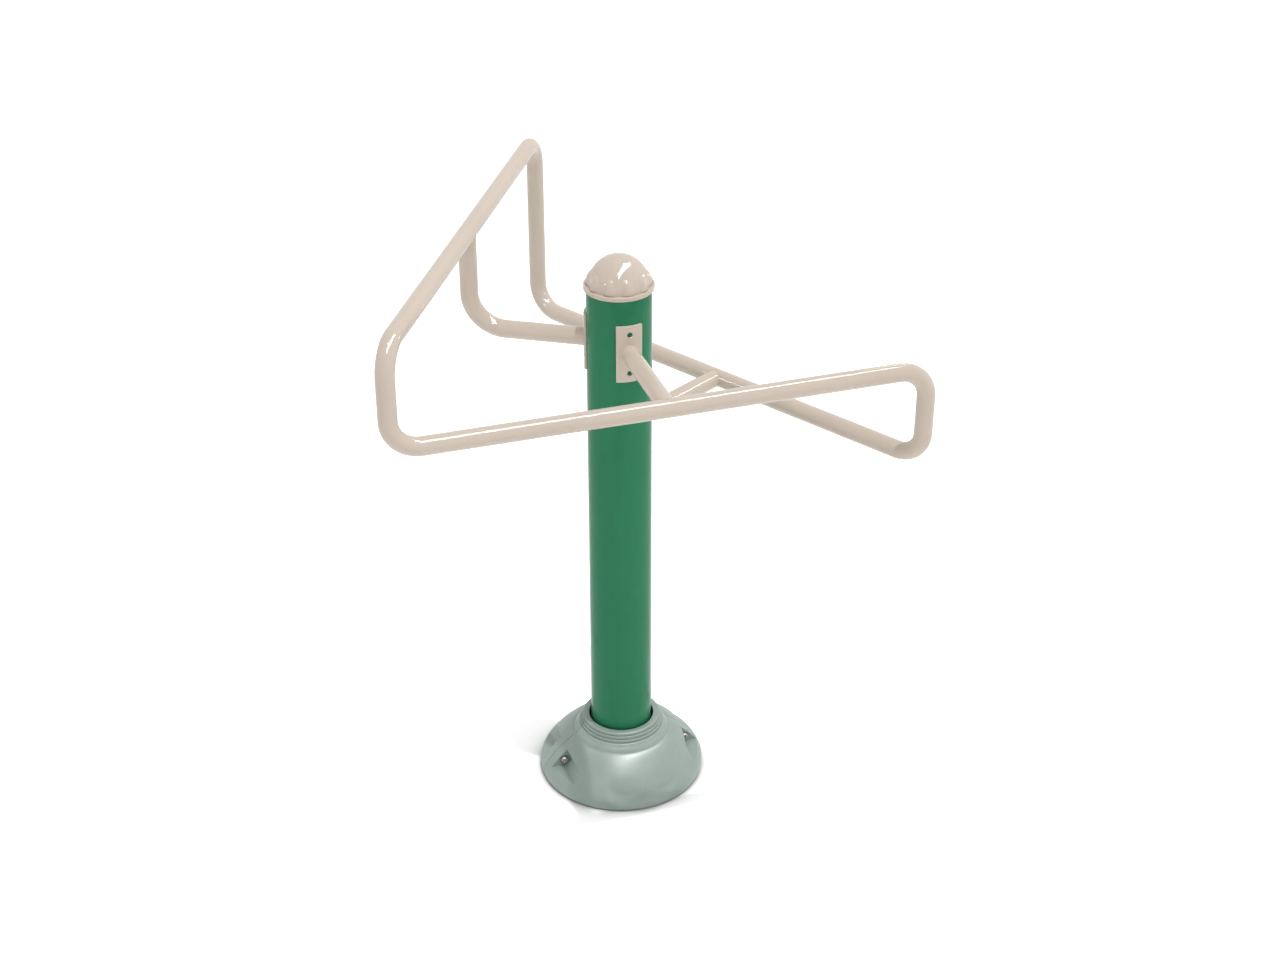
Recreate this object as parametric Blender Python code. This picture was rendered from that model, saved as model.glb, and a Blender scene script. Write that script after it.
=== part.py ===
"""Double stretching post: one steel post, a two-part cast base cover, a domed cap and a
three-sided loop of grab bars at three heights. Metres, +Z up, the front arm towards -Y."""
import math

import bmesh
import bpy
from mathutils import Matrix, Vector

MM = 0.001
X_AXIS = Vector((1, 0, 0))
Y_AXIS = Vector((0, 1, 0))
Z_AXIS = Vector((0, 0, 1))

# Clearances and cutters
FIT = 0.3 * MM
OVERRUN = 20 * MM

# Smoothness: sides of round pieces and the angle above which an edge stays sharp
POST_SIDES = 60
TUBE_SIDES = 20
BEND_STEPS = 6
ROD_SIDES = 16
COVER_STEPS = 28
DOME_STEPS = 8
RIM_STEPS = 3
LOBE_SIDES = 10
LOBE_RINGS = 8
SHARP_ANGLE = math.radians(35)

# Post, which ends a set length above the middle arms
MID_HEIGHT = 911 * MM
POST_RADIUS = 57.15 * MM
POST_WALL = 3.2 * MM
POST_ABOVE_ARMS = 98.5 * MM
POST_TOP = MID_HEIGHT + POST_ABOVE_ARMS
POST_BORE = POST_RADIUS - POST_WALL

# Bars and arms, all of one tube
BAR_RADIUS = 16 * MM
BAR_WALL = 2.5 * MM
BAR_REACH = 266.4 * MM
HEIGHT_STEP = 174.5 * MM
HIGH_HEIGHT = MID_HEIGHT + HEIGHT_STEP
LOW_HEIGHT = MID_HEIGHT - HEIGHT_STEP
BEND_RADIUS = 52 * MM
ARM_BEND_RADIUS = 64 * MM
LOOP_SIDES = 3
FRONT_ANGLE = math.radians(-90)
LOW_ANGLE = FRONT_ANGLE + math.tau / LOOP_SIDES
HIGH_ANGLE = FRONT_ANGLE - math.tau / LOOP_SIDES
CORNER_REACH = BAR_REACH / math.cos(math.pi / LOOP_SIDES)
SIDE_LENGTH = 2 * BAR_REACH * math.tan(math.pi / LOOP_SIDES)

# Saddle plates, curved to the post
PLATE_ARC = 48.5 * MM
PLATE_HEIGHT = 105.6 * MM
PLATE_THICK = 4 * MM
PLATE_EDGE = 0.5 * MM
PLATE_STEPS = 17
PLATE_INNER = POST_RADIUS + FIT
PLATE_OUTER = PLATE_INNER + PLATE_THICK
HOLE_PITCH = 72.6 * MM
HOLE_RADIUS = 4.9 * MM
HOLE_SEAT = 2.3 * MM

# Plate screws and the inserts they bite in
SCREW_RADIUS = 3 * MM
SCREW_LENGTH = 15 * MM
SCREW_HEAD_RADIUS = HOLE_RADIUS - 0.6 * MM
SCREW_HEAD_HEIGHT = 1.6 * MM
SCREW_SOCKET = 1.5 * MM
SCREW_SOCKET_DEPTH = 1 * MM
INSERT_RADIUS = 5 * MM
INSERT_LENGTH = 12 * MM

# Base flange, gussets and anchor fixings
FLANGE_THICK = 12 * MM
FLANGE_EDGE = 1 * MM
GUSSET_COUNT = 4
GUSSET_THICK = 6 * MM
GUSSET_HEIGHT = 60 * MM
GUSSET_INSET = 40.5 * MM
GUSSET_TOE = 8 * MM
GUSSET_TOP = 10 * MM
ANCHOR_COUNT = 4
ANCHOR_INSET = 35.5 * MM
ANCHOR_RADIUS = 6 * MM
ANCHOR_HEIGHT = 38 * MM
ANCHOR_CHAMFER = 1.2 * MM
WASHER_RADIUS = 12 * MM
WASHER_THICK = 2.5 * MM
NUT_FLATS = 18 * MM
NUT_HEIGHT = 10 * MM

# Base cover: collar rings, shoulder, bell and foot
COVER_RADIUS = 155 * MM
COVER_WALL = 4 * MM
COVER_TOP = 120 * MM
COVER_PLAY = 0.5 * MM
COLLAR_GAP = 3.85 * MM
COLLAR_THICK = 11.5 * MM
COLLAR_BORE = POST_RADIUS + COLLAR_GAP
COLLAR_RADIUS = COLLAR_BORE + COLLAR_THICK
COLLAR_ROUND = 2 * MM
RING_COUNT = 3
RING_HEIGHT = 5.4 * MM
RING_GROWTH = 2.5 * MM
GROOVE_HEIGHT = 1 * MM
GROOVE_DEPTH = 1.2 * MM
SHOULDER_RUN = 6 * MM
SHOULDER_FALL = 4.5 * MM
SHOULDER_EDGE_RUN = 4 * MM
SHOULDER_EDGE_FALL = 4 * MM
STEP_RUN = 3 * MM
BELL_TOP = 87 * MM
BELL_FOOT = 17 * MM
BELL_CROWN_PULL = 12 * MM
BELL_FOOT_PULL = 19 * MM
BELL_POINTS = 11
FOOT_TUCK = 1.7 * MM
FOOT_POINTS = 3
FLANGE_RADIUS = COVER_RADIUS - COVER_WALL - COVER_PLAY
GUSSET_REACH = FLANGE_RADIUS - GUSSET_INSET
ANCHOR_CIRCLE_RADIUS = FLANGE_RADIUS - ANCHOR_INSET

# Two shallow scoops low on each shell
SCOOP_COUNT = 2
SCOOP_SPREAD = math.radians(30)
SCOOP_DEPTH = 2.6 * MM
SCOOP_LOW = 23 * MM
SCOOP_WEB = 27 * MM
SCOOP_TOP = 82 * MM
SCOOP_LIP = 5 * MM

# Cover bolts in pockets beside the seam
POCKET_FACE = 20 * MM
POCKET_FLOOR = 35 * MM
POCKET_LOW_INSET = 36 * MM
POCKET_KNEE_INSET = 49 * MM
POCKET_HIGH_INSET = 40 * MM
POCKET_INNER_LOW = COVER_RADIUS - POCKET_LOW_INSET
POCKET_INNER_HIGH = COVER_RADIUS - POCKET_KNEE_INSET
POCKET_OUTER_HIGH = COVER_RADIUS - POCKET_HIGH_INSET
POCKET_KNEE = 52 * MM
POCKET_CEILING = 71 * MM
POCKET_REACH = 100 * MM
BOSS_BACK = 1 * MM
SPOT_RADIUS = 9.5 * MM
SPOT_DEPTH = 2 * MM
COVER_BOLT_RADIUS = 4 * MM
COVER_BOLT_INSET = 34 * MM
COVER_BOLT_OFFSET = COVER_RADIUS - COVER_BOLT_INSET
COVER_BOLT_HEIGHT = 48.5 * MM
COVER_HEAD_RADIUS = 6.5 * MM
COVER_HEAD_HEIGHT = 8 * MM
COVER_SOCKET = 3 * MM
COVER_SOCKET_DEPTH = 4 * MM
COVER_WASHER_RADIUS = 8 * MM
COVER_WASHER_THICK = 1.6 * MM
COVER_NUT_FLATS = 13 * MM
COVER_NUT_HEIGHT = 6.5 * MM
COVER_BOLT_TAIL = 3 * MM
COVER_BOLT_CHAMFER = 1 * MM

# Cap
CAP_WALL = 3 * MM
CAP_RIM_OVERHANG = 4.65 * MM
CAP_RIM_RADIUS = POST_RADIUS + CAP_RIM_OVERHANG
CAP_RIM_HEIGHT = 8 * MM
CAP_RIM_ROUND = 3.5 * MM
CAP_RIM_TUCK = 1.2 * MM
DOME_SETBACK = 2.35 * MM
DOME_RADIUS = POST_RADIUS - DOME_SETBACK
DOME_RISE = 57.5 * MM
DOME_CENTRE = POST_TOP + 2.5 * MM
SPIGOT_LENGTH = 22 * MM
SPIGOT_CHAMFER = 1.5 * MM
LOBE_COUNT = 10
LOBE_INSET = 10.8 * MM
LOBE_REACH = DOME_RADIUS - LOBE_INSET
LOBE_DEPTH = 13 * MM
LOBE_WIDTH = 12.5 * MM
LOBE_HEIGHT = 25 * MM
LOBE_SINK = 3 * MM


def clear_scene():
    for old in list(bpy.data.objects):
        bpy.data.objects.remove(old, do_unlink=True)


def material(name, color, roughness, metallic=0.0, coat=0.0):
    mat = bpy.data.materials.new(name)
    mat.use_nodes = True
    shader = mat.node_tree.nodes["Principled BSDF"]
    shader.inputs["Base Color"].default_value = (*color, 1)
    shader.inputs["Roughness"].default_value = roughness
    shader.inputs["Metallic"].default_value = metallic
    shader.inputs["Coat Weight"].default_value = coat
    return mat


def finish(bm, name, mat):
    """Turn a closed bmesh into a named object with smooth rounds and sharp edges."""
    bm.normal_update()
    bmesh.ops.recalc_face_normals(bm, faces=bm.faces)
    if bm.calc_volume(signed=True) < 0:
        bmesh.ops.reverse_faces(bm, faces=bm.faces)
    mesh = bpy.data.meshes.new(name)
    bm.to_mesh(mesh)
    bm.free()
    obj = bpy.data.objects.new(name, mesh)
    bpy.context.scene.collection.objects.link(obj)
    if mat:
        mesh.materials.append(mat)
    shade(mesh)
    return obj


def shade(mesh):
    for face in mesh.polygons:
        face.use_smooth = True
    mesh.set_sharp_from_angle(angle=SHARP_ANGLE)


def boolean(obj, tools, operation):
    """Apply exact Boolean operations with the tools, and drop the tools."""
    for tool in tools:
        step = obj.modifiers.new("step", "BOOLEAN")
        step.operation = operation
        step.solver = "EXACT"
        step.object = tool
    bpy.context.view_layer.update()
    graph = bpy.context.evaluated_depsgraph_get()
    result = bpy.data.meshes.new_from_object(obj.evaluated_get(graph))
    obj.modifiers.clear()
    obj.data = result
    shade(result)
    for tool in tools:
        bpy.data.objects.remove(tool, do_unlink=True)
    return obj


def cut(obj, *tools):
    return boolean(obj, tools, "DIFFERENCE")


def join(obj, *tools):
    return boolean(obj, tools, "UNION")


def common(obj, *tools):
    return boolean(obj, tools, "INTERSECT")


def polar(radius, angle, height=0.0):
    return Vector((radius * math.cos(angle), radius * math.sin(angle), height))


def arc(centre, radii, start, end, steps):
    """Outline points of an elliptic arc, both ends included."""
    points = []
    for i in range(steps + 1):
        a = start + (end - start) * i / steps
        points.append((centre[0] + radii[0] * math.cos(a), centre[1] + radii[1] * math.sin(a)))
    return points


def revolve(name, outline, mat, steps, sweep=math.tau, start=0.0, marks=()):
    """Spin an outline of (radius, height) points about Z into a solid."""
    bm = bmesh.new()
    tag = bm.verts.layers.float.new("tag")
    turn = Matrix.Rotation(start, 3, "Z")
    verts = []
    for i, (radius, height) in enumerate(outline):
        vert = bm.verts.new(turn @ Vector((radius, 0, height)))
        vert[tag] = 1.0 if i in marks else 0.0
        verts.append(vert)
    whole = abs(sweep - math.tau) < 1e-6
    if whole:
        pairs = [(verts[i - 1], verts[i]) for i in range(len(verts))]
        ring = [bm.edges.new(pair) for pair in pairs if pair[0].co.xy.length + pair[1].co.xy.length > 0]
        geometry = verts + ring
    else:
        face = bm.faces.new(verts)
        geometry = verts + list(bm.edges) + [face]
    bmesh.ops.spin(bm, geom=geometry, cent=(0, 0, 0), axis=Z_AXIS, angle=sweep,
                   steps=steps, use_merge=whole, use_duplicate=False)
    bmesh.ops.remove_doubles(bm, verts=bm.verts, dist=MM / 1000)
    return bm if mat == "raw" else finish(bm, name, mat)


def turned(name, outline, start, direction, mat, sides=ROD_SIDES):
    """Turn an outline of (radius, distance from the start) points round an axis in any direction."""
    bm = revolve(name, outline, "raw", sides)
    bm.transform(Matrix.Translation(start) @ direction.to_track_quat("Z", "Y").to_matrix().to_4x4())
    return finish(bm, name, mat)


def rod(name, radius, start, end, mat, sides=ROD_SIDES, bore=0.0, chamfer=0.0):
    """Round or hexagonal rod or ring between two points."""
    length = (end - start).length
    outline = [(bore, 0), (radius, 0), (radius, length - chamfer)]
    if chamfer:
        outline.append((radius - chamfer, length))
    outline.append((bore, length))
    return turned(name, outline, start, end - start, mat, sides)


def prism(name, outline, depth, mat=None, frame=Matrix()):
    """Extrude an outline of (x, y) points along Z by a depth, then place it by a frame."""
    bm = bmesh.new()
    verts = [bm.verts.new((x, y, 0)) for x, y in outline]
    face = bm.faces.new(verts)
    top = bmesh.ops.extrude_face_region(bm, geom=[face])
    moved = [v for v in top["geom"] if isinstance(v, bmesh.types.BMVert)]
    bmesh.ops.translate(bm, verts=moved, vec=Z_AXIS * depth)
    bm.transform(frame)
    return finish(bm, name, mat)


def hexagon(flats):
    radius = flats / 2 / math.cos(math.pi / 6)
    return [(radius * math.cos(k * math.pi / 3), radius * math.sin(k * math.pi / 3)) for k in range(6)]


def bent_tube(name, start, direction, moves, mat):
    """Feed a hollow tube along a path: each move is ("feed", length) or ("bend", new direction, radius)."""
    bm = bmesh.new()
    rings = []
    for radius in (BAR_RADIUS, BAR_RADIUS - BAR_WALL):
        ring = bmesh.ops.create_circle(bm, segments=TUBE_SIDES, radius=radius)
        rings.append(ring["verts"])
    bmesh.ops.bridge_loops(bm, edges=list(bm.edges))
    place = direction.to_track_quat("Z", "Y").to_matrix().to_4x4()
    bm.transform(Matrix.Translation(start) @ place)
    end = {"verts": list(bm.verts), "edges": list(bm.edges), "faces": list(bm.faces)}
    position = start.copy()
    heading = direction.normalized()
    for move in moves:
        geometry = end["verts"] + end["edges"] + end["faces"]
        if move[0] == "feed":
            new = bmesh.ops.extrude_face_region(bm, geom=geometry)["geom"]
            shift = heading * move[1]
            bmesh.ops.translate(bm, vec=shift, verts=[v for v in new if isinstance(v, bmesh.types.BMVert)])
            position += shift
        else:
            target = move[1].normalized()
            inward = (target - heading * target.dot(heading)).normalized()
            centre = position + inward * move[2]
            axis = heading.cross(target).normalized()
            angle = heading.angle(target)
            new = bmesh.ops.spin(bm, geom=geometry, cent=centre, axis=axis, angle=angle,
                                 steps=BEND_STEPS, use_duplicate=False)["geom_last"]
            position = centre + Matrix.Rotation(angle, 3, axis) @ (position - centre)
            heading = target
        end = {"verts": [g for g in new if isinstance(g, bmesh.types.BMVert)],
               "edges": [g for g in new if isinstance(g, bmesh.types.BMEdge)],
               "faces": [g for g in new if isinstance(g, bmesh.types.BMFace)]}
    return finish(bm, name, mat)


def arm_frame(angle):
    """Outward direction of an arm and the direction of its bar."""
    return polar(1, angle), polar(1, angle + math.pi / 2)


def post_tube(mat):
    """Round tube from the flange to the cap, drilled for the inserts behind each plate."""
    low = FLANGE_THICK + FIT
    outline = [(POST_RADIUS, low), (POST_RADIUS, POST_TOP), (POST_BORE, POST_TOP), (POST_BORE, low)]
    post = revolve("post_tube", outline, mat, POST_SIDES)
    drills = []
    for angle, centre in SADDLES.values():
        for z in (centre - HOLE_PITCH / 2, centre + HOLE_PITCH / 2):
            drills.append(rod("drill", INSERT_RADIUS + FIT, polar(POST_BORE - OVERRUN, angle, z),
                              polar(POST_RADIUS + OVERRUN, angle, z), None))
    return cut(post, *drills)


def saddle_plate(name, angle, height, mat):
    """Plate curved to the post, with two stepped screw holes."""
    half = PLATE_ARC / PLATE_OUTER / 2
    low, high = height - PLATE_HEIGHT / 2, height + PLATE_HEIGHT / 2
    edge = PLATE_EDGE
    outline = [(PLATE_INNER, low), (PLATE_OUTER - edge, low), (PLATE_OUTER, low + edge),
               (PLATE_OUTER, high - edge), (PLATE_OUTER - edge, high), (PLATE_INNER, high)]
    plate = revolve(name, outline, mat, PLATE_STEPS, sweep=2 * half, start=angle - half)
    hole = SCREW_RADIUS + FIT
    seat = OVERRUN + PLATE_THICK - HOLE_SEAT
    end = seat + OVERRUN
    stepped = [(0, 0), (hole, 0), (hole, seat), (HOLE_RADIUS, seat), (HOLE_RADIUS, end), (0, end)]
    starts = [polar(PLATE_INNER - OVERRUN, angle, height + side * HOLE_PITCH / 2) for side in (-1, 1)]
    return cut(plate, *[turned("hole", stepped, start, polar(1, angle), None) for start in starts])


def plate_screw(name, angle, height, mat):
    """Low round-headed socket screw, set into the plate."""
    seat = PLATE_OUTER - HOLE_SEAT + FIT
    out = polar(1, angle)
    foot = polar(seat - SCREW_LENGTH, angle, height)
    end = SCREW_LENGTH + SCREW_HEAD_HEIGHT
    crown = foot + out * end
    outline = [(0, 0), (SCREW_RADIUS, 0), (SCREW_RADIUS, SCREW_LENGTH), (SCREW_HEAD_RADIUS, SCREW_LENGTH),
               (SCREW_HEAD_RADIUS, end), (0, end)]
    screw = turned(name, outline, foot, out, mat)
    socket = rod("socket", SCREW_SOCKET, crown - out * SCREW_SOCKET_DEPTH, crown + out * OVERRUN, None, sides=6)
    return cut(screw, socket)


def plate_insert(name, angle, height, mat):
    """Threaded sleeve in the post wall, behind the plate."""
    outer = POST_RADIUS - FIT
    return rod(name, INSERT_RADIUS, polar(outer - INSERT_LENGTH, angle, height), polar(outer, angle, height),
               mat, bore=SCREW_RADIUS + FIT)


def saddle_arm(name, angle, saddle_height, bar_height, mat):
    """Arm from a saddle plate to the middle of its bar, coped at both ends."""
    out, along = arm_frame(angle)
    start = polar(PLATE_OUTER - BAR_RADIUS, angle, saddle_height)
    run = BAR_REACH - start.xy.length
    rise = bar_height - saddle_height
    if rise:
        moves = [("feed", run - ARM_BEND_RADIUS), ("bend", Z_AXIS, ARM_BEND_RADIUS),
                 ("feed", rise - ARM_BEND_RADIUS)]
    else:
        moves = [("feed", run)]
    arm = bent_tube(name, start, out, moves, mat)
    span = along * (BAR_RADIUS + OVERRUN)
    centre = polar(BAR_REACH, angle, bar_height)
    seat_low = Vector((0, 0, saddle_height - BAR_RADIUS - OVERRUN))
    seat_high = Vector((0, 0, saddle_height + BAR_RADIUS + OVERRUN))
    return cut(arm, rod("bar_cope", BAR_RADIUS + FIT, centre - span, centre + span, None, sides=TUBE_SIDES * 2),
               rod("post_cope", PLATE_OUTER + FIT, seat_low, seat_high, None, sides=POST_SIDES))


def loop_bar(name, angle, height, mat):
    """Straight bar of the loop, between the bends of its two corners."""
    out, along = arm_frame(angle)
    length = SIDE_LENGTH - 2 * BEND_RADIUS - FIT
    start = polar(BAR_REACH, angle, height) - along * length / 2
    return bent_tube(name, start, along, [("feed", length)], mat)


def corner_bend(name, corner_angle, first, second, mat):
    """Upright stretch with two bends that joins two bars; first and second are (arm angle, height)."""
    corner = polar(CORNER_REACH, corner_angle)
    headings = []
    for arm_angle, _ in (first, second):
        middle = polar(BAR_REACH, arm_angle)
        headings.append((corner - middle).normalized())
    start = corner - headings[0] * (BEND_RADIUS - FIT / 2) + Z_AXIS * first[1]
    stub = FIT / 2
    vertical = Z_AXIS if second[1] > first[1] else -Z_AXIS
    rise = abs(second[1] - first[1]) - 2 * BEND_RADIUS
    start -= headings[0] * stub
    moves = [("feed", stub), ("bend", vertical, BEND_RADIUS), ("feed", rise),
             ("bend", -headings[1], BEND_RADIUS)]
    return bent_tube(name, start, headings[0], moves, mat)


def base_flange(mat):
    """Round foot plate with four anchor holes."""
    edge = FLANGE_EDGE
    outline = [(0, 0), (FLANGE_RADIUS - edge, 0), (FLANGE_RADIUS, edge), (FLANGE_RADIUS, FLANGE_THICK - edge),
               (FLANGE_RADIUS - edge, FLANGE_THICK), (0, FLANGE_THICK)]
    flange = revolve("base_flange", outline, mat, POST_SIDES)
    drills = [rod("drill", ANCHOR_RADIUS + FIT, spot - Z_AXIS * OVERRUN, spot + Z_AXIS * OVERRUN, None)
              for spot in anchor_spots()]
    return cut(flange, *drills)


def anchor_spots():
    return [polar(ANCHOR_CIRCLE_RADIUS, math.tau * (k + 0.5) / ANCHOR_COUNT) for k in range(ANCHOR_COUNT)]


def gusset(name, angle, mat):
    """Upright rib between the flange and the post."""
    root = POST_RADIUS + FIT
    low = FLANGE_THICK + FIT
    high = low + GUSSET_HEIGHT
    outline = [(root, low), (GUSSET_REACH, low), (GUSSET_REACH, low + GUSSET_TOE),
               (root + GUSSET_TOP, high), (root, high)]
    frame = Matrix.Rotation(angle, 4, "Z") @ Matrix.Translation(Y_AXIS * GUSSET_THICK / 2)
    return prism(name, outline, GUSSET_THICK, mat, frame @ Matrix.Rotation(math.pi / 2, 4, "X"))


def nut(name, flats, bore, start, end, mat):
    """Hexagon nut between two points on its axis."""
    place = (end - start).to_track_quat("Z", "Y").to_matrix().to_4x4()
    body = prism(name, hexagon(flats), (end - start).length, mat, Matrix.Translation(start) @ place)
    over = (end - start).normalized() * OVERRUN
    return cut(body, rod("bore", bore, start - over, end + over, None))


def anchor_set(index, spot, steel):
    """Stud, washer and nut at one corner of the flange."""
    low = FLANGE_THICK + FIT
    washer_top = low + WASHER_THICK
    nut_low = washer_top + FIT
    bore = ANCHOR_RADIUS + FIT
    rod(f"anchor_stud_{index}", ANCHOR_RADIUS, spot, spot + Z_AXIS * ANCHOR_HEIGHT, steel, chamfer=ANCHOR_CHAMFER)
    rod(f"anchor_washer_{index}", WASHER_RADIUS, spot + Z_AXIS * low, spot + Z_AXIS * washer_top, steel, bore=bore)
    nut(f"anchor_nut_{index}", NUT_FLATS, bore, spot + Z_AXIS * nut_low,
        spot + Z_AXIS * (nut_low + NUT_HEIGHT), steel)


def bell_curve(inset=0.0, points=BELL_POINTS):
    """Bell outline from the crown down to the foot, moved inwards by an inset."""
    crown = Vector((COLLAR_RADIUS + (RING_COUNT - 1) * RING_GROWTH + SHOULDER_RUN + SHOULDER_EDGE_RUN
                    + STEP_RUN, BELL_TOP))
    foot = Vector((COVER_RADIUS, BELL_FOOT))
    handles = (crown, crown + Vector((BELL_CROWN_PULL, 0)), foot + Vector((0, BELL_FOOT_PULL)), foot)
    outline = []
    for i in range(points + 1):
        t = i / points
        weights = ((1 - t) ** 3, 3 * t * (1 - t) ** 2, 3 * t * t * (1 - t), t ** 3)
        slopes = (-(1 - t) ** 2, (1 - t) ** 2 - 2 * t * (1 - t), 2 * t * (1 - t) - t * t, t * t)
        point = sum((h * w for h, w in zip(handles, weights)), Vector((0, 0)))
        run = sum((h * s for h, s in zip(handles, slopes)), Vector((0, 0))).normalized()
        point += Vector((run.y, -run.x)) * inset
        outline.append((point.x, point.y))
    return outline


def collar_outline():
    """Collar from its bore over the top and down the rings to the step above the bell."""
    turn = COLLAR_ROUND
    outline = [(COLLAR_BORE, COVER_TOP - turn / 2), (COLLAR_BORE + turn / 2, COVER_TOP)]
    outline += arc((COLLAR_RADIUS - turn, COVER_TOP - turn), (turn, turn), math.pi / 2, 0, RIM_STEPS)
    z = COVER_TOP
    for ring in range(RING_COUNT):
        radius = COLLAR_RADIUS + ring * RING_GROWTH
        if ring:
            outline.append((radius, z))
        z -= RING_HEIGHT
        outline.append((radius, z))
        outline.append((radius - GROOVE_DEPTH, z))
        z -= GROOVE_HEIGHT
        outline.append((radius - GROOVE_DEPTH, z))
    radius += SHOULDER_RUN / 2
    outline.append((radius, z))
    radius += SHOULDER_RUN / 2
    z -= SHOULDER_FALL
    outline.append((radius, z))
    outline.append((radius + SHOULDER_EDGE_RUN, z - SHOULDER_EDGE_FALL))
    return outline


def scoop(point):
    """Depth of the two scoops low on a shell, at a point of the bell."""
    if not BELL_FOOT < point.z < SCOOP_TOP:
        return 0.0
    angle = math.atan2(point.x, abs(point.y)) / SCOOP_SPREAD
    if abs(angle) > SCOOP_COUNT / 2:
        return 0.0
    across = 2 * (abs(angle) - 0.5)
    floor = SCOOP_LOW + SCOOP_WEB * across ** 2
    rise = min(max((point.z - floor) / SCOOP_LIP, 0.0), 1.0)
    fade = min(max((SCOOP_TOP - point.z) / (SCOOP_TOP - SCOOP_LOW), 0.0), 1.0)
    edge = 1.0 if abs(angle) < 0.5 else 1 - across ** 4
    return SCOOP_DEPTH * rise * rise * (3 - 2 * rise) * fade * edge


def cover_outline():
    """Section of a shell and the indices of its bell points."""
    collar = collar_outline()
    bell = bell_curve()
    foot = arc((COVER_RADIUS - FOOT_TUCK, BELL_FOOT), (FOOT_TUCK, BELL_FOOT), 0, -math.pi / 2, FOOT_POINTS)[1:]
    inner = [(COVER_RADIUS - COVER_WALL, 0), (COVER_RADIUS - COVER_WALL, BELL_FOOT)]
    inner += list(reversed(bell_curve(COVER_WALL, BELL_POINTS // 2)))[1:]
    inner.append((COLLAR_BORE, inner[-1][1]))
    marks = range(len(collar), len(collar) + len(bell))
    return collar + bell + foot + inner, marks


def pocket_section(side, grow=0.0):
    """Section of a bolt pocket across Y, open towards the outside."""
    outside = COVER_RADIUS + OVERRUN
    points = [(outside, POCKET_FLOOR - grow), (POCKET_INNER_LOW - grow, POCKET_FLOOR - grow),
              (POCKET_INNER_HIGH - grow, POCKET_KNEE), (POCKET_OUTER_HIGH - grow, POCKET_CEILING + grow),
              (outside, POCKET_CEILING + grow)]
    return [(side * x, z) for x, z in points]


def along_y(start):
    """Frame whose X is X, whose Y is Z and whose extrusion runs towards -Y from a start."""
    return Matrix.Translation(Y_AXIS * start) @ Matrix.Rotation(math.pi / 2, 4, "X")


def cover_shell(name, front, mat):
    """Half cover: a spun shell, a boss behind each pocket, the pockets and the bolt holes."""
    outline, marks = cover_outline()
    bm = revolve(name, outline, "raw", COVER_STEPS, sweep=math.pi, start=math.pi, marks=set(marks))
    tag = bm.verts.layers.float["tag"]
    for vert in bm.verts:
        if vert[tag] > 0.5:
            depth = scoop(vert.co)
            reach = vert.co.xy.length
            vert.co.xy = vert.co.xy * (1 - depth / reach)
    shell = finish(bm, name, mat)
    for side in (-1, 1):
        boss = prism("boss", pocket_section(side, COVER_WALL), POCKET_REACH, None, along_y(-BOSS_BACK))
        core = [(0, 0)] + list(reversed(bell_curve(COVER_WALL / 2, BELL_POINTS // 2))) + [(0, BELL_TOP)]
        core.insert(1, (COVER_RADIUS - COVER_WALL / 2, 0))
        common(boss, revolve("core", core, None, POST_SIDES))
        join(shell, boss)
        pocket = prism("pocket", pocket_section(side), POCKET_REACH, None, along_y(-POCKET_FACE))
        axis = Vector((side * COVER_BOLT_OFFSET, 0, COVER_BOLT_HEIGHT))
        seat = axis - Y_AXIS * (POCKET_FACE - SPOT_DEPTH)
        spot = rod("spot", SPOT_RADIUS, seat, seat - Y_AXIS * OVERRUN, None)
        hole = rod("hole", COVER_BOLT_RADIUS + FIT, axis + Y_AXIS * OVERRUN, axis - Y_AXIS * 2 * OVERRUN, None)
        cut(shell, pocket, spot, hole)
    turn = Matrix() if front else Matrix.Rotation(math.pi, 4, "Z")
    shell.data.transform(turn @ Matrix.Translation(Y_AXIS * -FIT))
    return shell


def cover_fixing(name, side, steel):
    """Socket-head bolt through both shells, with its washer and nut at the rear."""
    axis = Vector((side * COVER_BOLT_OFFSET, 0, COVER_BOLT_HEIGHT))
    seat = POCKET_FACE - SPOT_DEPTH + 2 * FIT
    washer_end = seat + COVER_WASHER_THICK
    nut_start = washer_end + FIT
    nut_end = nut_start + COVER_NUT_HEIGHT
    shank = seat + nut_end + COVER_BOLT_TAIL
    top = shank + COVER_HEAD_HEIGHT
    chamfer = COVER_BOLT_CHAMFER
    outline = [(0, 0), (COVER_BOLT_RADIUS - chamfer, 0), (COVER_BOLT_RADIUS, chamfer), (COVER_BOLT_RADIUS, shank),
               (COVER_HEAD_RADIUS, shank), (COVER_HEAD_RADIUS, top - chamfer), (COVER_HEAD_RADIUS - chamfer, top),
               (0, top)]
    bolt = turned(f"cover_bolt_{name}", outline, axis + Y_AXIS * (nut_end + COVER_BOLT_TAIL), -Y_AXIS, steel)
    crown = axis - Y_AXIS * (seat + COVER_HEAD_HEIGHT)
    cut(bolt, rod("socket", COVER_SOCKET, crown + Y_AXIS * COVER_SOCKET_DEPTH, crown - Y_AXIS * OVERRUN, None,
                  sides=6))
    bore = COVER_BOLT_RADIUS + FIT
    rod(f"cover_washer_{name}", COVER_WASHER_RADIUS, axis + Y_AXIS * seat, axis + Y_AXIS * washer_end, steel,
        bore=bore)
    nut(f"cover_nut_{name}", COVER_NUT_FLATS, bore, axis + Y_AXIS * nut_start, axis + Y_AXIS * nut_end, steel)


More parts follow.
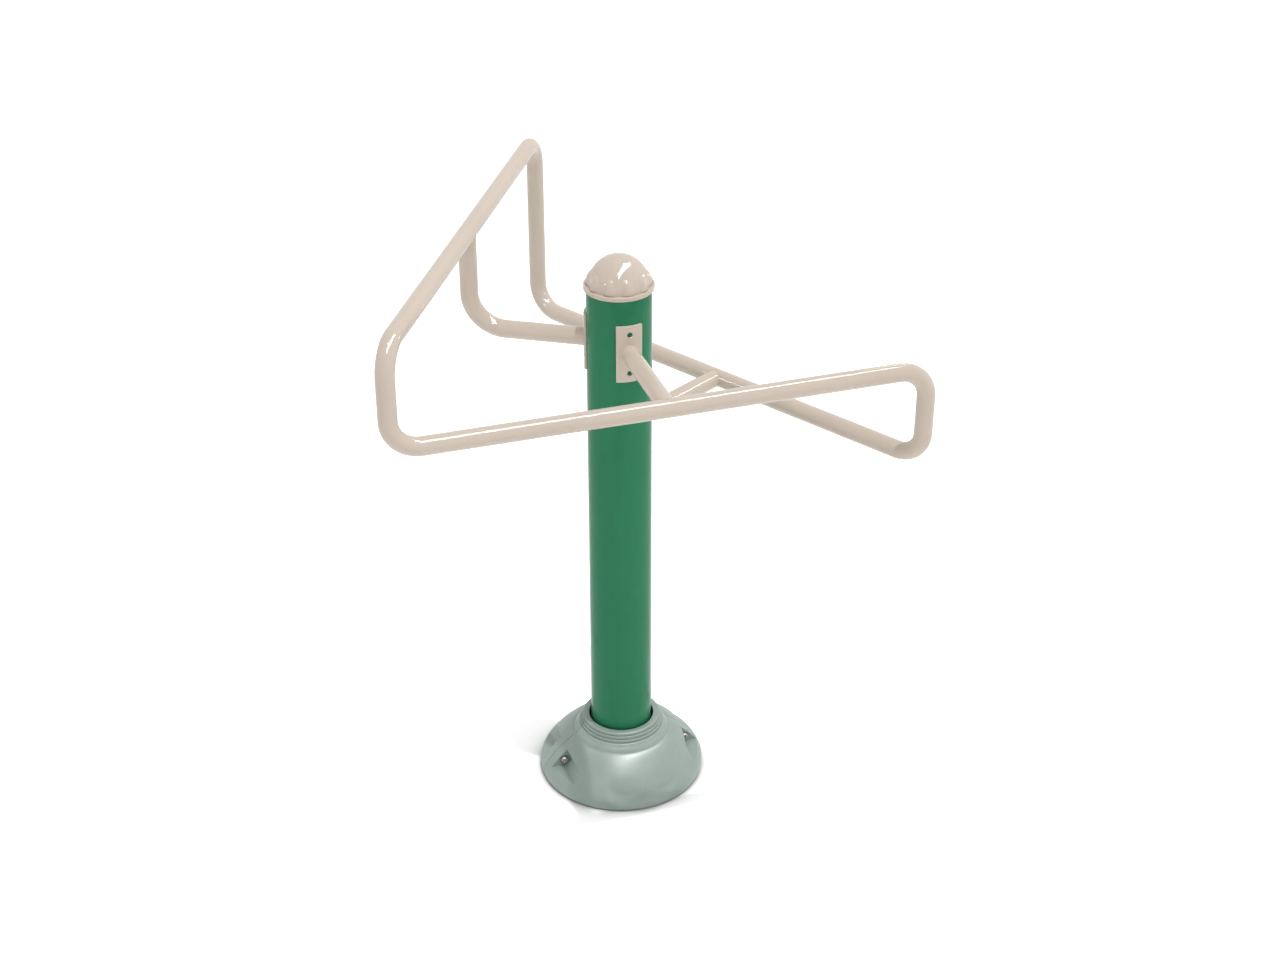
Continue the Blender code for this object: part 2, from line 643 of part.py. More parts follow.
def post_cap(mat):
    """Domed cap with a rounded rim, ten lobes round the dome's foot and a spigot in the post."""
    rim_low = POST_TOP + FIT
    rim_top = rim_low + CAP_RIM_HEIGHT
    spigot = POST_BORE - FIT
    spigot_low = rim_low - SPIGOT_LENGTH
    lift = rim_top - DOME_CENTRE
    foot_angle = math.asin(lift / DOME_RISE)
    dome = arc((0, DOME_CENTRE), (DOME_RADIUS, DOME_RISE), math.pi / 2, foot_angle, DOME_STEPS)
    dome[0] = (0, dome[0][1])
    turn = CAP_RIM_ROUND
    rim = arc((CAP_RIM_RADIUS - turn, rim_top - turn), (turn, turn), math.pi / 2, 0, RIM_STEPS)
    rim += [(CAP_RIM_RADIUS, rim_low + CAP_RIM_TUCK), (CAP_RIM_RADIUS - CAP_RIM_TUCK, rim_low), (spigot, rim_low)]
    foot = [(spigot, spigot_low + SPIGOT_CHAMFER), (spigot - SPIGOT_CHAMFER, spigot_low), (0, spigot_low)]
    cap = revolve("post_cap", dome + rim + foot, mat, POST_SIDES)
    lobes = []
    for k in range(LOBE_COUNT):
        angle = FRONT_ANGLE + math.tau * k / LOBE_COUNT
        bm = bmesh.new()
        bmesh.ops.create_uvsphere(bm, u_segments=LOBE_SIDES, v_segments=LOBE_RINGS, radius=1)
        size = Matrix.Diagonal((LOBE_DEPTH, LOBE_WIDTH, LOBE_HEIGHT, 1))
        place = Matrix.Translation(polar(LOBE_REACH, angle, rim_top)) @ Matrix.Rotation(angle, 4, "Z") @ size
        bm.transform(place)
        base = Matrix.Translation(Z_AXIS * (rim_top - LOBE_SINK))
        half = prism("half", [(-CAP_RIM_RADIUS, -CAP_RIM_RADIUS), (CAP_RIM_RADIUS, -CAP_RIM_RADIUS),
                              (CAP_RIM_RADIUS, CAP_RIM_RADIUS), (-CAP_RIM_RADIUS, CAP_RIM_RADIUS)],
                     LOBE_HEIGHT * 2, None, base)
        lobes.append(common(finish(bm, "lobe", None), half))
    join(cap, *lobes)
    wall = CAP_WALL
    inner = arc((0, DOME_CENTRE), (DOME_RADIUS - wall, DOME_RISE - wall), math.pi / 2, 0, DOME_STEPS // 2)
    inner[0] = (0, inner[0][1])
    inner += [(spigot - wall, DOME_CENTRE), (spigot - wall, spigot_low - OVERRUN), (0, spigot_low - OVERRUN)]
    return cut(cap, revolve("hollow", inner, None, POST_SIDES))


SADDLES = {"front": (FRONT_ANGLE, MID_HEIGHT), "high": (HIGH_ANGLE, MID_HEIGHT), "low": (LOW_ANGLE, LOW_HEIGHT)}
BARS = {"front": (FRONT_ANGLE, MID_HEIGHT), "high": (HIGH_ANGLE, HIGH_HEIGHT), "low": (LOW_ANGLE, LOW_HEIGHT)}


def build():
    clear_scene()
    green = material("green_paint", (0.036, 0.18, 0.095), 0.32, coat=0.4)
    beige = material("beige_paint", (0.62, 0.53, 0.45), 0.28, coat=0.4)
    cast = material("cast_grey_green", (0.30, 0.36, 0.33), 0.45, metallic=0.2)
    steel = material("zinc_steel", (0.55, 0.54, 0.53), 0.38, metallic=1.0)
    base_flange(steel)
    for k in range(GUSSET_COUNT):
        gusset(f"gusset_{k + 1}", math.tau * k / GUSSET_COUNT, green)
    for k, spot in enumerate(anchor_spots()):
        anchor_set(k + 1, spot, steel)
    post_tube(green)
    post_cap(beige)
    cover_shell("cover_front", True, cast)
    cover_shell("cover_rear", False, cast)
    cover_fixing("left", -1, steel)
    cover_fixing("right", 1, steel)
    for name, (angle, height) in SADDLES.items():
        saddle_plate(f"{name}_plate", angle, height, beige)
        saddle_arm(f"{name}_arm", angle, height, BARS[name][1], beige)
        for level, sign in (("upper", 1), ("lower", -1)):
            z = height + sign * HOLE_PITCH / 2
            plate_screw(f"{name}_screw_{level}", angle, z, green)
            plate_insert(f"{name}_insert_{level}", angle, z, steel)
    for name, (angle, height) in BARS.items():
        loop_bar(f"{name}_bar", angle, height, beige)
    corner_bend("corner_front_left", HIGH_ANGLE + math.pi / LOOP_SIDES, BARS["front"], BARS["high"], beige)
    corner_bend("corner_rear", LOW_ANGLE + math.pi / LOOP_SIDES, BARS["low"], BARS["high"], beige)
    corner_bend("corner_front_right", FRONT_ANGLE + math.pi / LOOP_SIDES, BARS["low"], BARS["front"], beige)


build()
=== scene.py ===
"""Double stretching post: glossy painted tubes, a domed cap and a satin cast base cover in a pale studio.
Metres, +Z up, the front arm towards -Y."""

import math

import bmesh
import bpy
from bpy.props import FloatProperty, FloatVectorProperty, IntProperty, PointerProperty
from mathutils import Matrix, Vector


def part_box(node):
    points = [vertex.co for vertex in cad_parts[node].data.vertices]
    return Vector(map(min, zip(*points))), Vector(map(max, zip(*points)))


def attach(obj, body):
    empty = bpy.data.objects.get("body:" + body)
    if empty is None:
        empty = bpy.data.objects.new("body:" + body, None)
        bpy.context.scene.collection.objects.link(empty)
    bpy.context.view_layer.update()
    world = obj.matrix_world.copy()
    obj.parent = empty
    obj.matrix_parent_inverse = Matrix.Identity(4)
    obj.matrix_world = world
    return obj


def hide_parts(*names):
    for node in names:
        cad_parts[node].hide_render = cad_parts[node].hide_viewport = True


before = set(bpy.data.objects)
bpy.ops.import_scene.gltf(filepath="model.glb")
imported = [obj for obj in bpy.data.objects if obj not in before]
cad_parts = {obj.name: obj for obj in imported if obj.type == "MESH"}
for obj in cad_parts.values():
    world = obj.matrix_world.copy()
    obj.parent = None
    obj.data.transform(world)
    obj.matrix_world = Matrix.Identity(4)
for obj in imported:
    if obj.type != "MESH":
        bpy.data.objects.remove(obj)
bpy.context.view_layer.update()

bl_info = {
    "name": "Double Stretching Post",
    "version": (1, 0, 0),
    "blender": (4, 5, 0),
    "location": "View3D > Sidebar > Stretching Post",
    "description": "Finishes the pieces of a double stretching post and sets its studio",
    "category": "Object",
}

MM = 0.001
Y_AXIS = Vector((0, 1, 0))
Z_AXIS = Vector((0, 0, 1))
FIT = 0.3 * MM
OVERRUN = 20 * MM
MERGE = MM / 1000
SHARP_ANGLE = math.radians(35)

# Places that the frame's own parts give
POST_LOW, POST_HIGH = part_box("post_tube")
FRONT_LOW, FRONT_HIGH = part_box("front_bar")
HIGH_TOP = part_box("high_bar")[1].z
LOW_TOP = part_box("low_bar")[1].z
RIM_LOW = POST_HIGH.z + FIT
BAR_RADIUS = (FRONT_HIGH.z - FRONT_LOW.z) / 2
BAR_REACH = -(FRONT_LOW.y + FRONT_HIGH.y) / 2
FRONT_ANGLE = math.radians(-90)
LOW_ANGLE = math.radians(30)
HIGH_ANGLE = math.radians(150)
HEIGHTS = {"front": FRONT_HIGH.z - BAR_RADIUS, "high": HIGH_TOP - BAR_RADIUS, "low": LOW_TOP - BAR_RADIUS}
ANGLES = {"front": FRONT_ANGLE, "high": HIGH_ANGLE, "low": LOW_ANGLE}
SADDLES = {"front": HEIGHTS["front"], "high": HEIGHTS["front"], "low": HEIGHTS["low"]}

# Fineness of round pieces, and the largest share of an edge that an ease takes
EASE_STEPS = 4
EASE_SHARE = 0.45
POST_SIDES = 144
TUBE_SIDES = 48
BEND_STEPS = 24
CAP_SIDES = 200
DOME_STEPS = 60
SHELL_STEPS = 120
BELL_STEPS = 40
ROD_SIDES = 40
PLATE_STEPS = 40
PLATE_CORNER_STEPS = 5
PLATE_EDGE_STEPS = 3
FOOT_STEPS = 8
BAND_STEPS = 4

# Post and arms
POST_EASE = 0.6 * MM
ARM_SINK = 0.75
BAR_WELD = 0.8

# Saddle plates and their screws
PLATE_CORNER = 1.5 * MM
HOLE_SEAT = 3.5 * MM
HOLE_EDGE = 0.5 * MM
SCREW_RADIUS = 3 * MM
SCREW_HEAD = 1.5 * MM
SCREW_DOME = 0.8
SCREW_EASES = (0.2 * MM, 0.9 * MM)
SCREW_PLAY = 0.3 * MM
SCREW_SOCKET = 1.4 * MM
SCREW_HOLLOW = 1 * MM
SCREW_BROW = 2.2 * MM
SCREW_DEPTH = 11 * MM

# Cap rim: the groove inside it, then its corners as distances in from the outside, falls and eases
RIM_GROOVE = 3.6 * MM
RIM_GROOVE_FALLS = (1.5 * MM, 1.8 * MM)
RIM_GROOVE_EASES = (0.3 * MM, 1.4 * MM)
RIM_LEAN = 0.3 * MM
RIM_CORNERS = ((0, 0, 2.6 * MM), (0, 4.4 * MM, 0.5 * MM), (0.5 * MM, 4.8 * MM, 0.3 * MM),
               (0.2 * MM, 5.3 * MM, 0.3 * MM))
RIM_HEIGHT = 8 * MM
BAND_INSET = 0.2 * MM
BAND_EASE = 1 * MM
BAND_FOOT = 3 * MM

# Cap dome and lobes
DOME_SETBACK = 2.35 * MM
DOME_LIFT = 2.2 * MM
DOME_RISE = 57.5 * MM
DOME_MARGIN = 0.1 * MM
LOBE_MARGIN = 0.5 * MM
LOBE_START = 0.4
LOBE_REACH = 44 * MM
LOBE_SIZE = (13 * MM, 12.5 * MM, 25 * MM)
SPIGOT_LENGTH = 22 * MM
CAP_WALL = 3 * MM

# Base cover: collar, rings, shoulder and bell
COVER_TOP = 120 * MM
COVER_WALL = 4 * MM
COLLAR_GAP = 3.85 * MM
COLLAR_THICK = 11.5 * MM
COLLAR_BORE = 4 * MM
COLLAR_EASE = 1 * MM
RING_COUNT = 3
RING_HEIGHT = 5.4 * MM
RING_GROWTH = 2.5 * MM
RING_EASES = (2.4 * MM, 0.8 * MM, 0.4 * MM)
GROOVE_HEIGHT = 1 * MM
GROOVE_DEPTH = 1.2 * MM
SHOULDER = ((3 * MM, 0), (6 * MM, 4.5 * MM), (10 * MM, 8.5 * MM))
SHOULDER_EASE = 1.2 * MM
CROWN_RUN = 13 * MM
BELL_TOP = 87 * MM
BELL_FOOT = 17 * MM
BELL_PULLS = (12 * MM, 19 * MM)
FOOT_ROUND = (5 * MM, 7 * MM)
FOOT_TURN = 80
FOOT_SEAT = 0.4 * MM

# Seam of the two shells: where its chamfer starts, and how near to the seam a point counts as on it
CHAMFER_RUN = 3 * MM
CHAMFER_LOW = 4 * MM
NECK_MARGIN = 0.1 * MM
SLOPE_REACH = 3
SEAM_CUT = 1e-7
SEAM_NEAR = 1e-6

# Scoops low on each shell
SCOOP_SPREAD = math.radians(30)
SCOOP_DEPTH = 28 * MM
SCOOP_LOW = 7 * MM
SCOOP_WEB = 24 * MM
SCOOP_TOP = 64 * MM
SCOOP_LIP = 24 * MM
SCOOP_END = 4

# Bolt pockets beside the seam: the section's corners as distances in from the foot and heights
POCKET_CORNERS = ((36 * MM, 35 * MM), (49 * MM, 52 * MM), (40 * MM, 71 * MM))
POCKET_FACE = 20 * MM
POCKET_REACH = 100 * MM
POCKET_EASE = 1.5 * MM
BOSS_BACK = 1 * MM
SPOT_RADIUS = 9.5 * MM
SPOT_DEPTH = 2 * MM
BOLT_INSET = 34 * MM
BOLT_HEIGHT = 48.5 * MM
BOLT_RADIUS = 4 * MM
BOLT_HEAD = (6.5 * MM, 8 * MM)
BOLT_EASES = (0.3 * MM, 1.4 * MM)
BOLT_SOCKET = (3 * MM, 4 * MM)
BOLT_TAIL = 3 * MM
BOLT_POINT = 1 * MM
WASHER = (8 * MM, 1.6 * MM)
WASHER_EASES = (0.3 * MM, 0.2 * MM)
NUT = (13 * MM, 6.5 * MM)
NUT_CHAMFER = 0.6

# Noise of the finishes: octaves, then cells to the metre
SMOOTH = 2.0
MIXED = 3.0
CLOUDY = 4.0
PAINT_DRIFT = 4
PAINT_GRAIN = 2600
PAINT_POLISH = 14
PAINT_PEEL = 620
CAST_MOTTLE = 28
CAST_SPECK = 1500
CAST_SAND = (900, 240)
ZINC_CRYSTALS = 320.0
ZINC_CLOUD = 90
ZINC_TURNING = 500
TURNING_STRETCH = (1, 1, 9)

# Tones of the finishes: steps over which a noise comes in, its share and its tone against the colour
TONE_STEP = (0.3, 0.7)
PAINT_TONES = (0.975, 1.02)
GRAIN_STEP = (0.62, 0.75)
GRAIN_SHARE = 0.25
GRAIN_TONE = 1.12
CAST_TONES = (0.96, 1.035)
SPECK_STEP = (0.6, 0.78)
SPECK_SHARE = 0.35
SPECK_TONE = 0.82
CRYSTAL_STEP = (0.1, 0.9)
CRYSTAL_TONES = (0.88, 1.06)
CLOUD_STEP = (0.45, 0.75)
CLOUD_SHARE = 0.5
CLOUD_TONE = 0.78

# Gloss of the finishes: lowest roughness and its range, index of refraction, and bump heights in metres
GREEN_GLOSS = (0.04, 1.22, 1e-6)
BEIGE_GLOSS = (0.03, 1.3, 0.6e-6)
POLISH_RANGE = 0.04
CAST_ROUGHNESS = (0.36, 0.06)
CAST_IOR = 1.58
CAST_COARSE = 1.5
CAST_BUMP = 14e-6
ZINC_ROUGHNESS = (0.24, 0.22)
ZINC_BUMP = 10e-6


def size(label, about, default):
    """A length for the panel."""
    return FloatProperty(name=label, description=about, default=default, min=0.0, subtype="DISTANCE",
                         unit="LENGTH")


def colour(label, about, default):
    """A colour for the panel."""
    return FloatVectorProperty(name=label, description=about, default=default, size=3, min=0.0, max=1.0,
                               subtype="COLOR")


class PostSizes(bpy.types.PropertyGroup):
    """Sizes of the post and of its saddle plates and cover"""
    post_radius: size("Post radius", "Outside radius of the post tube", POST_HIGH.x)
    post_wall: size("Post wall", "Wall of the post tube", 3.2 * MM)
    bend_radius: size("Corner bend", "Centreline radius of the bends at the loop's corners", 52 * MM)
    arm_bend_radius: size("Arm bend", "Centreline radius of the bend in the high arm", 64 * MM)
    weld_radius: size("Weld bead", "Radius of the weld beads round the arms' ends", 1.3 * MM)
    plate_arc: size("Plate width", "Width of a saddle plate, along its outer face", 48.5 * MM)
    plate_height: size("Plate height", "Height of a saddle plate", 105.6 * MM)
    plate_thick: size("Plate thickness", "Thickness of a saddle plate", 4 * MM)
    plate_edge: size("Plate edge", "Rounding of a saddle plate's edges", 0.7 * MM)
    hole_pitch: size("Hole pitch", "Distance between a plate's two holes", 72.6 * MM)
    hole_radius: size("Hole radius", "Radius of a plate hole's seat", 4.9 * MM)
    lobe_blend: size("Lobe blend", "How softly the cap's lobes flow into the dome", 4 * MM)
    lobe_count: IntProperty(name="Lobes", description="Number of lobes round the foot of the cap's dome",
                            default=10, min=3, max=24)
    cover_radius: size("Cover radius", "Radius of the base cover at its foot", 155 * MM)
    seam_chamfer: size("Seam chamfer", "Chamfer of the two shells along their seam", 1.2 * MM)


class PostFinish(bpy.types.PropertyGroup):
    """Colours of the four finishes"""
    green: colour("Post green", "Gloss paint of the post, the gussets and the plate screws",
                  (0.027, 0.200, 0.098))
    beige: colour("Bar beige", "Gloss paint of the bars, arms, plates and cap", (0.62, 0.532, 0.45))
    cast: colour("Cover grey-green", "Satin paint of the cast base cover", (0.285, 0.355, 0.320))
    steel: colour("Zinc steel", "Bare plated steel of the fixings and the flange", (0.55, 0.54, 0.53))


class Value:
    """A node's output that adds Math nodes when it is used in an expression."""

    def __init__(self, graph, socket):
        self.graph = graph
        self.socket = socket

    def math(self, operation, *values):
        return self.graph.add("ShaderNodeMath", {"operation": operation}, dict(enumerate(values)))

    def __add__(self, other):
        return self.math("ADD", self, other)

    def __mul__(self, other):
        return self.math("MULTIPLY", self, other)

    __radd__ = __add__
    __rmul__ = __mul__

    def most(self, other):
        return self.math("MAXIMUM", self, other)

    def between(self, low, high):
        """0 below low, 1 above high, and smooth in between."""
        return self.graph.add("ShaderNodeMapRange", {"interpolation_type": "SMOOTHSTEP"},
                              {"Value": self, "From Min": low, "From Max": high})


class Graph:
    """A node tree that is filled node by node."""

    def __init__(self, tree):
        self.tree = tree
        tree.nodes.clear()

    def add(self, kind, settings=None, values=None, output=0):
        """Add a node of a type with its settings and its sockets' values or links; return one output."""
        node = self.tree.nodes.new(kind)
        for key, value in (settings or {}).items():
            setattr(node, key, value)
        for key, value in (values or {}).items():
            socket = node.inputs[key]
            if isinstance(value, Value):
                self.tree.links.new(value.socket, socket)
            else:
                socket.default_value = value
        return Value(self, node.outputs[output]) if node.outputs else None

    def mix(self, factor, first, second):
        """Blend two colours; the colour sockets of the node are known by their places."""
        return self.add("ShaderNodeMix", {"data_type": "RGBA"}, {0: factor, 6: first, 7: second}, 2)

    def noise(self, scale, detail=MIXED, stretch=None):
        """Noise over the object's own coordinates, from 0 to 1, with about that many cells to the metre."""
        place = self.add("ShaderNodeTexCoord", output="Object")
        if stretch:
            place = self.add("ShaderNodeMapping", {}, {"Vector": place, "Scale": stretch})
        return self.add("ShaderNodeTexNoise", {}, {"Vector": place, "Scale": scale, "Detail": detail})

    def bump(self, height, distance):
        """Normals bent by a height, whose full range is a distance in metres."""
        return self.add("ShaderNodeBump", {}, {"Strength": 1.0, "Distance": distance, "Height": height})

    def seen(self):
        """1 for what the camera sees, also in gloss and through glass."""
        return self.ray("Camera").most(self.ray("Glossy")).most(self.ray("Transmission"))

    def ray(self, kind):
        """1 for rays of one kind."""
        return self.add("ShaderNodeLightPath", output=f"Is {kind} Ray")


def tint(base, amount):
    """The colour made lighter or darker by an amount, as RGBA."""
    return (*[min(channel * amount, 1.0) for channel in base], 1.0)


def new_material(name):
    """A new material and its empty graph."""
    material = bpy.data.materials.new(name)
    material.use_nodes = True
    return material, Graph(material.node_tree)


def gloss_paint(name, base, roughness, ior, peel):
    """Baked powder paint: a slow drift of tone, fine orange peel and hand-polished patches."""
    material, graph = new_material(name)
    drift = graph.noise(PAINT_DRIFT, SMOOTH)
    grain = graph.noise(PAINT_GRAIN, SMOOTH)
    tone = graph.mix(drift.between(*TONE_STEP), *[tint(base, amount) for amount in PAINT_TONES])
    tone = graph.mix(grain.between(*GRAIN_STEP) * GRAIN_SHARE, tone, tint(base, GRAIN_TONE))
    polish = graph.noise(PAINT_POLISH)
    surface = graph.add("ShaderNodeBsdfPrincipled", {}, {
        "Base Color": tone, "Roughness": polish * POLISH_RANGE + roughness, "IOR": ior,
        "Normal": graph.bump(graph.noise(PAINT_PEEL, SMOOTH), peel)})
    graph.add("ShaderNodeOutputMaterial", {}, {"Surface": surface})
    return material


def cast_paint(name, base):
    """Satin paint over a fine sand casting: faint pits and a soft mottle."""
    material, graph = new_material(name)
    mottle = graph.noise(CAST_MOTTLE, CLOUDY)
    speck = graph.noise(CAST_SPECK, SMOOTH)
    tone = graph.mix(mottle.between(*TONE_STEP), *[tint(base, amount) for amount in CAST_TONES])
    tone = graph.mix(speck.between(*SPECK_STEP) * SPECK_SHARE, tone, tint(base, SPECK_TONE))
    fine, coarse = CAST_SAND
    sand = graph.noise(fine) + graph.noise(coarse, SMOOTH) * CAST_COARSE
    lowest, spread = CAST_ROUGHNESS
    surface = graph.add("ShaderNodeBsdfPrincipled", {}, {
        "Base Color": tone, "Roughness": mottle * spread + lowest, "IOR": CAST_IOR,
        "Normal": graph.bump(sand, CAST_BUMP)})
    graph.add("ShaderNodeOutputMaterial", {}, {"Surface": surface})
    return material


def zinc_steel(name, base):
    """Plated steel: faint crystal patches, fine turning marks and cloudy roughness."""
    material, graph = new_material(name)
    place = graph.add("ShaderNodeTexCoord", output="Object")
    crystal = graph.add("ShaderNodeTexVoronoi", {}, {"Vector": place, "Scale": ZINC_CRYSTALS})
    cloud = graph.noise(ZINC_CLOUD, CLOUDY)
    lines = graph.noise(ZINC_TURNING, SMOOTH, TURNING_STRETCH)
    tone = graph.mix(crystal.between(*CRYSTAL_STEP), *[tint(base, amount) for amount in CRYSTAL_TONES])
    tone = graph.mix(cloud.between(*CLOUD_STEP) * CLOUD_SHARE, tone, tint(base, CLOUD_TONE))
    lowest, spread = ZINC_ROUGHNESS
    surface = graph.add("ShaderNodeBsdfPrincipled", {}, {
        "Base Color": tone, "Metallic": 1.0, "Roughness": cloud * spread + lowest,
        "Normal": graph.bump(lines, ZINC_BUMP)})
    graph.add("ShaderNodeOutputMaterial", {}, {"Surface": surface})
    return material


def finishes(context):
    """The four finishes, made once from the colours in the panel."""
    found = bpy.data.materials
    colours = context.scene.post_finish
    if "green gloss paint" not in found:
        gloss_paint("green gloss paint", colours.green, *GREEN_GLOSS)
        gloss_paint("beige gloss paint", colours.beige, *BEIGE_GLOSS)
        cast_paint("satin cast paint", colours.cast)
        zinc_steel("zinc steel", colours.steel)
    return {"green_paint": found["green gloss paint"], "beige_paint": found["beige gloss paint"],
            "cast_grey_green": found["satin cast paint"], "zinc_steel": found["zinc steel"]}


def polar(radius, angle, height=0.0):
    """Point at a radius, an angle and a height."""
    return Vector((radius * math.cos(angle), radius * math.sin(angle), height))


def arm_frame(angle):
    """Outward direction of an arm and the direction of its bar."""
    return polar(1, angle), polar(1, angle + math.pi / 2)


def arc(centre, radius, start, end, steps):
    """Outline points of an arc between two angles in degrees, both ends included."""
    angles = [math.radians(start + (end - start) * i / steps) for i in range(steps + 1)]
    return [(centre[0] + radius * math.cos(a), centre[1] + radius * math.sin(a)) for a in angles]


def eased(corners):
    """Outline through (x, y, ease) corners, each eased by a short curve."""
    outline = []
    last = len(corners) - 1
    for i, (x, y, ease) in enumerate(corners):
        here = Vector((x, y))
        if not ease or i in (0, last):
            outline.append(tuple(here))
            continue
        before = Vector(corners[i - 1][:2]) - here
        after = Vector(corners[i + 1][:2]) - here
        start = here + before.normalized() * min(ease, before.length * EASE_SHARE)
        end = here + after.normalized() * min(ease, after.length * EASE_SHARE)
        for k in range(EASE_STEPS + 1):
            t = k / EASE_STEPS
            outline.append(tuple(start * (1 - t) ** 2 + here * 2 * t * (1 - t) + end * t * t))
    return outline


def close_mesh(bm, name):
    """Turn a closed bmesh into a mesh whose faces point outwards, smooth but for its sharp edges."""
    bm.normal_update()
    bmesh.ops.recalc_face_normals(bm, faces=bm.faces)
    if bm.calc_volume(signed=True) < 0:
        bmesh.ops.reverse_faces(bm, faces=bm.faces)
    mesh = bpy.data.meshes.new(name)
    bm.to_mesh(mesh)
    bm.free()
    shade(mesh)
    return mesh


def shade(mesh):
    """Smooth shading that leaves the sharp edges sharp."""
    for face in mesh.polygons:
        face.use_smooth = True
    mesh.set_sharp_from_angle(angle=SHARP_ANGLE)


def loose(bm, name="tool"):
    """A solid of its own, or one that cuts or joins another."""
    obj = bpy.data.objects.new(name, close_mesh(bm, name))
    bpy.context.scene.collection.objects.link(obj)
    return obj


def piece(obj, slot, *nodes):
    """Give a finished piece its finish and its place on the body, and hide the parts that it stands for."""
    obj.data.materials.clear()
    obj.data.materials.append(finishes(bpy.context)[slot])
    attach(obj, "root")
    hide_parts(*nodes)


def boolean(obj, tools, operation):
    """Apply exact Boolean operations with the tools, and drop the tools."""
    for tool in tools:
        step = obj.modifiers.new("step", "BOOLEAN")
        step.operation = operation
        step.solver = "EXACT"
        step.object = tool
    bpy.context.view_layer.update()
    graph = bpy.context.evaluated_depsgraph_get()
    result = bpy.data.meshes.new_from_object(obj.evaluated_get(graph))
    obj.modifiers.clear()
    obj.data = result
    shade(result)
    for tool in tools:
        bpy.data.objects.remove(tool, do_unlink=True)
    return obj


def spun(outline, steps, sweep=math.tau, start=0.0, marks=None):
    """Spin an outline of (radius, height) points about Z; marks gives each point's inward step, kept on
    its ring."""
    bm = bmesh.new()
    layer = bm.verts.layers.float_vector.new("inward")
    turn = Matrix.Rotation(start, 3, "Z")
    verts = []
    for i, (radius, height) in enumerate(outline):
        vert = bm.verts.new(turn @ Vector((radius, 0, height)))
        vert[layer] = marks[i] if marks else Vector()
        verts.append(vert)
    whole = sweep == math.tau
    if whole:
        pairs = [(verts[i - 1], verts[i]) for i in range(len(verts))]
        geometry = verts + [bm.edges.new(p) for p in pairs if p[0].co.xy.length + p[1].co.xy.length > 0]
    else:
        face = bm.faces.new(verts)
        geometry = verts + list(bm.edges) + [face]
    bmesh.ops.spin(bm, geom=geometry, cent=(0, 0, 0), axis=Z_AXIS, angle=sweep, steps=steps, use_merge=whole,
                   use_duplicate=False)
    bmesh.ops.remove_doubles(bm, verts=bm.verts, dist=MERGE)
    return bm


def facing(start, direction):
    """Frame at a start whose Z runs in a direction."""
    return Matrix.Translation(start) @ direction.to_track_quat("Z", "Y").to_matrix().to_4x4()


def turned(outline, start, direction):
    """Turn an outline of (radius, distance from the start) points round an axis in any direction."""
    bm = spun(outline, ROD_SIDES)
    bm.transform(facing(start, direction))
    return bm


def rod(radius, start, end):
    """Round solid between two points."""
    length = (end - start).length
    return loose(turned([(0, 0), (radius, 0), (radius, length), (0, length)], start, end - start))


def prism(outline, depth, place):
    """Extrude an outline of (x, y) points along Z by a depth, then place it."""
    bm = bmesh.new()
    face = bm.faces.new([bm.verts.new((x, y, 0)) for x, y in outline])
    top = bmesh.ops.extrude_face_region(bm, geom=[face])["geom"]
    bmesh.ops.translate(bm, verts=[v for v in top if isinstance(v, bmesh.types.BMVert)], vec=Z_AXIS * depth)
    bm.transform(place)
    return bm


def hexagon(flats):
    """Corners of a hexagon, from its width across the flats."""
    radius = flats / 2 / math.cos(math.pi / 6)
    return [(radius * math.cos(k * math.pi / 3), radius * math.sin(k * math.pi / 3)) for k in range(6)]


def bent_bar(start, direction, moves):
    """Feed a round bar along a path: each move is a length to feed or (new direction, bend radius).
    Return the bmesh and its first and last face."""
    bm = bmesh.new()
    bmesh.ops.create_circle(bm, segments=TUBE_SIDES, radius=BAR_RADIUS, cap_ends=True)
    bm.transform(facing(start, direction))
    bm.faces.ensure_lookup_table()
    first = bm.faces[0]
    geometry = list(bm.verts) + list(bm.edges) + [first]
    position = start.copy()
    heading = direction.normalized()
    for move in moves:
        if isinstance(move, tuple):
            target = move[0].normalized()
            centre = position + (target - heading * target.dot(heading)).normalized() * move[1]
            axis = heading.cross(target).normalized()
            angle = heading.angle(target)
            geometry = bmesh.ops.spin(bm, geom=geometry, cent=centre, axis=axis, angle=angle,
                                      steps=BEND_STEPS, use_duplicate=False)["geom_last"]
            position = centre + Matrix.Rotation(angle, 3, axis) @ (position - centre)
            heading = target
        else:
            geometry = bmesh.ops.extrude_face_region(bm, geom=geometry)["geom"]
            ring = [g for g in geometry if isinstance(g, bmesh.types.BMVert)]
            bmesh.ops.translate(bm, vec=heading * move, verts=ring)
            position += heading * move
    last = next(g for g in geometry if isinstance(g, bmesh.types.BMFace))
    return bm, first, last


def add_bead(bm, points, radius):
    """Add a round bead along a closed line of points."""
    line = bpy.data.curves.new("bead", "CURVE")
    line.dimensions = "3D"
    line.bevel_depth = radius
    line.bevel_resolution = 2
    path = line.splines.new("POLY")
    path.points.add(len(points) - 1)
    path.points.foreach_set("co", [c for p in points for c in (*p, 1.0)])
    path.use_cyclic_u = True
    holder = bpy.data.objects.new("bead", line)
    mesh = bpy.data.meshes.new_from_object(holder)
    bm.from_mesh(mesh)
    bpy.data.objects.remove(holder)
    bpy.data.curves.remove(line)


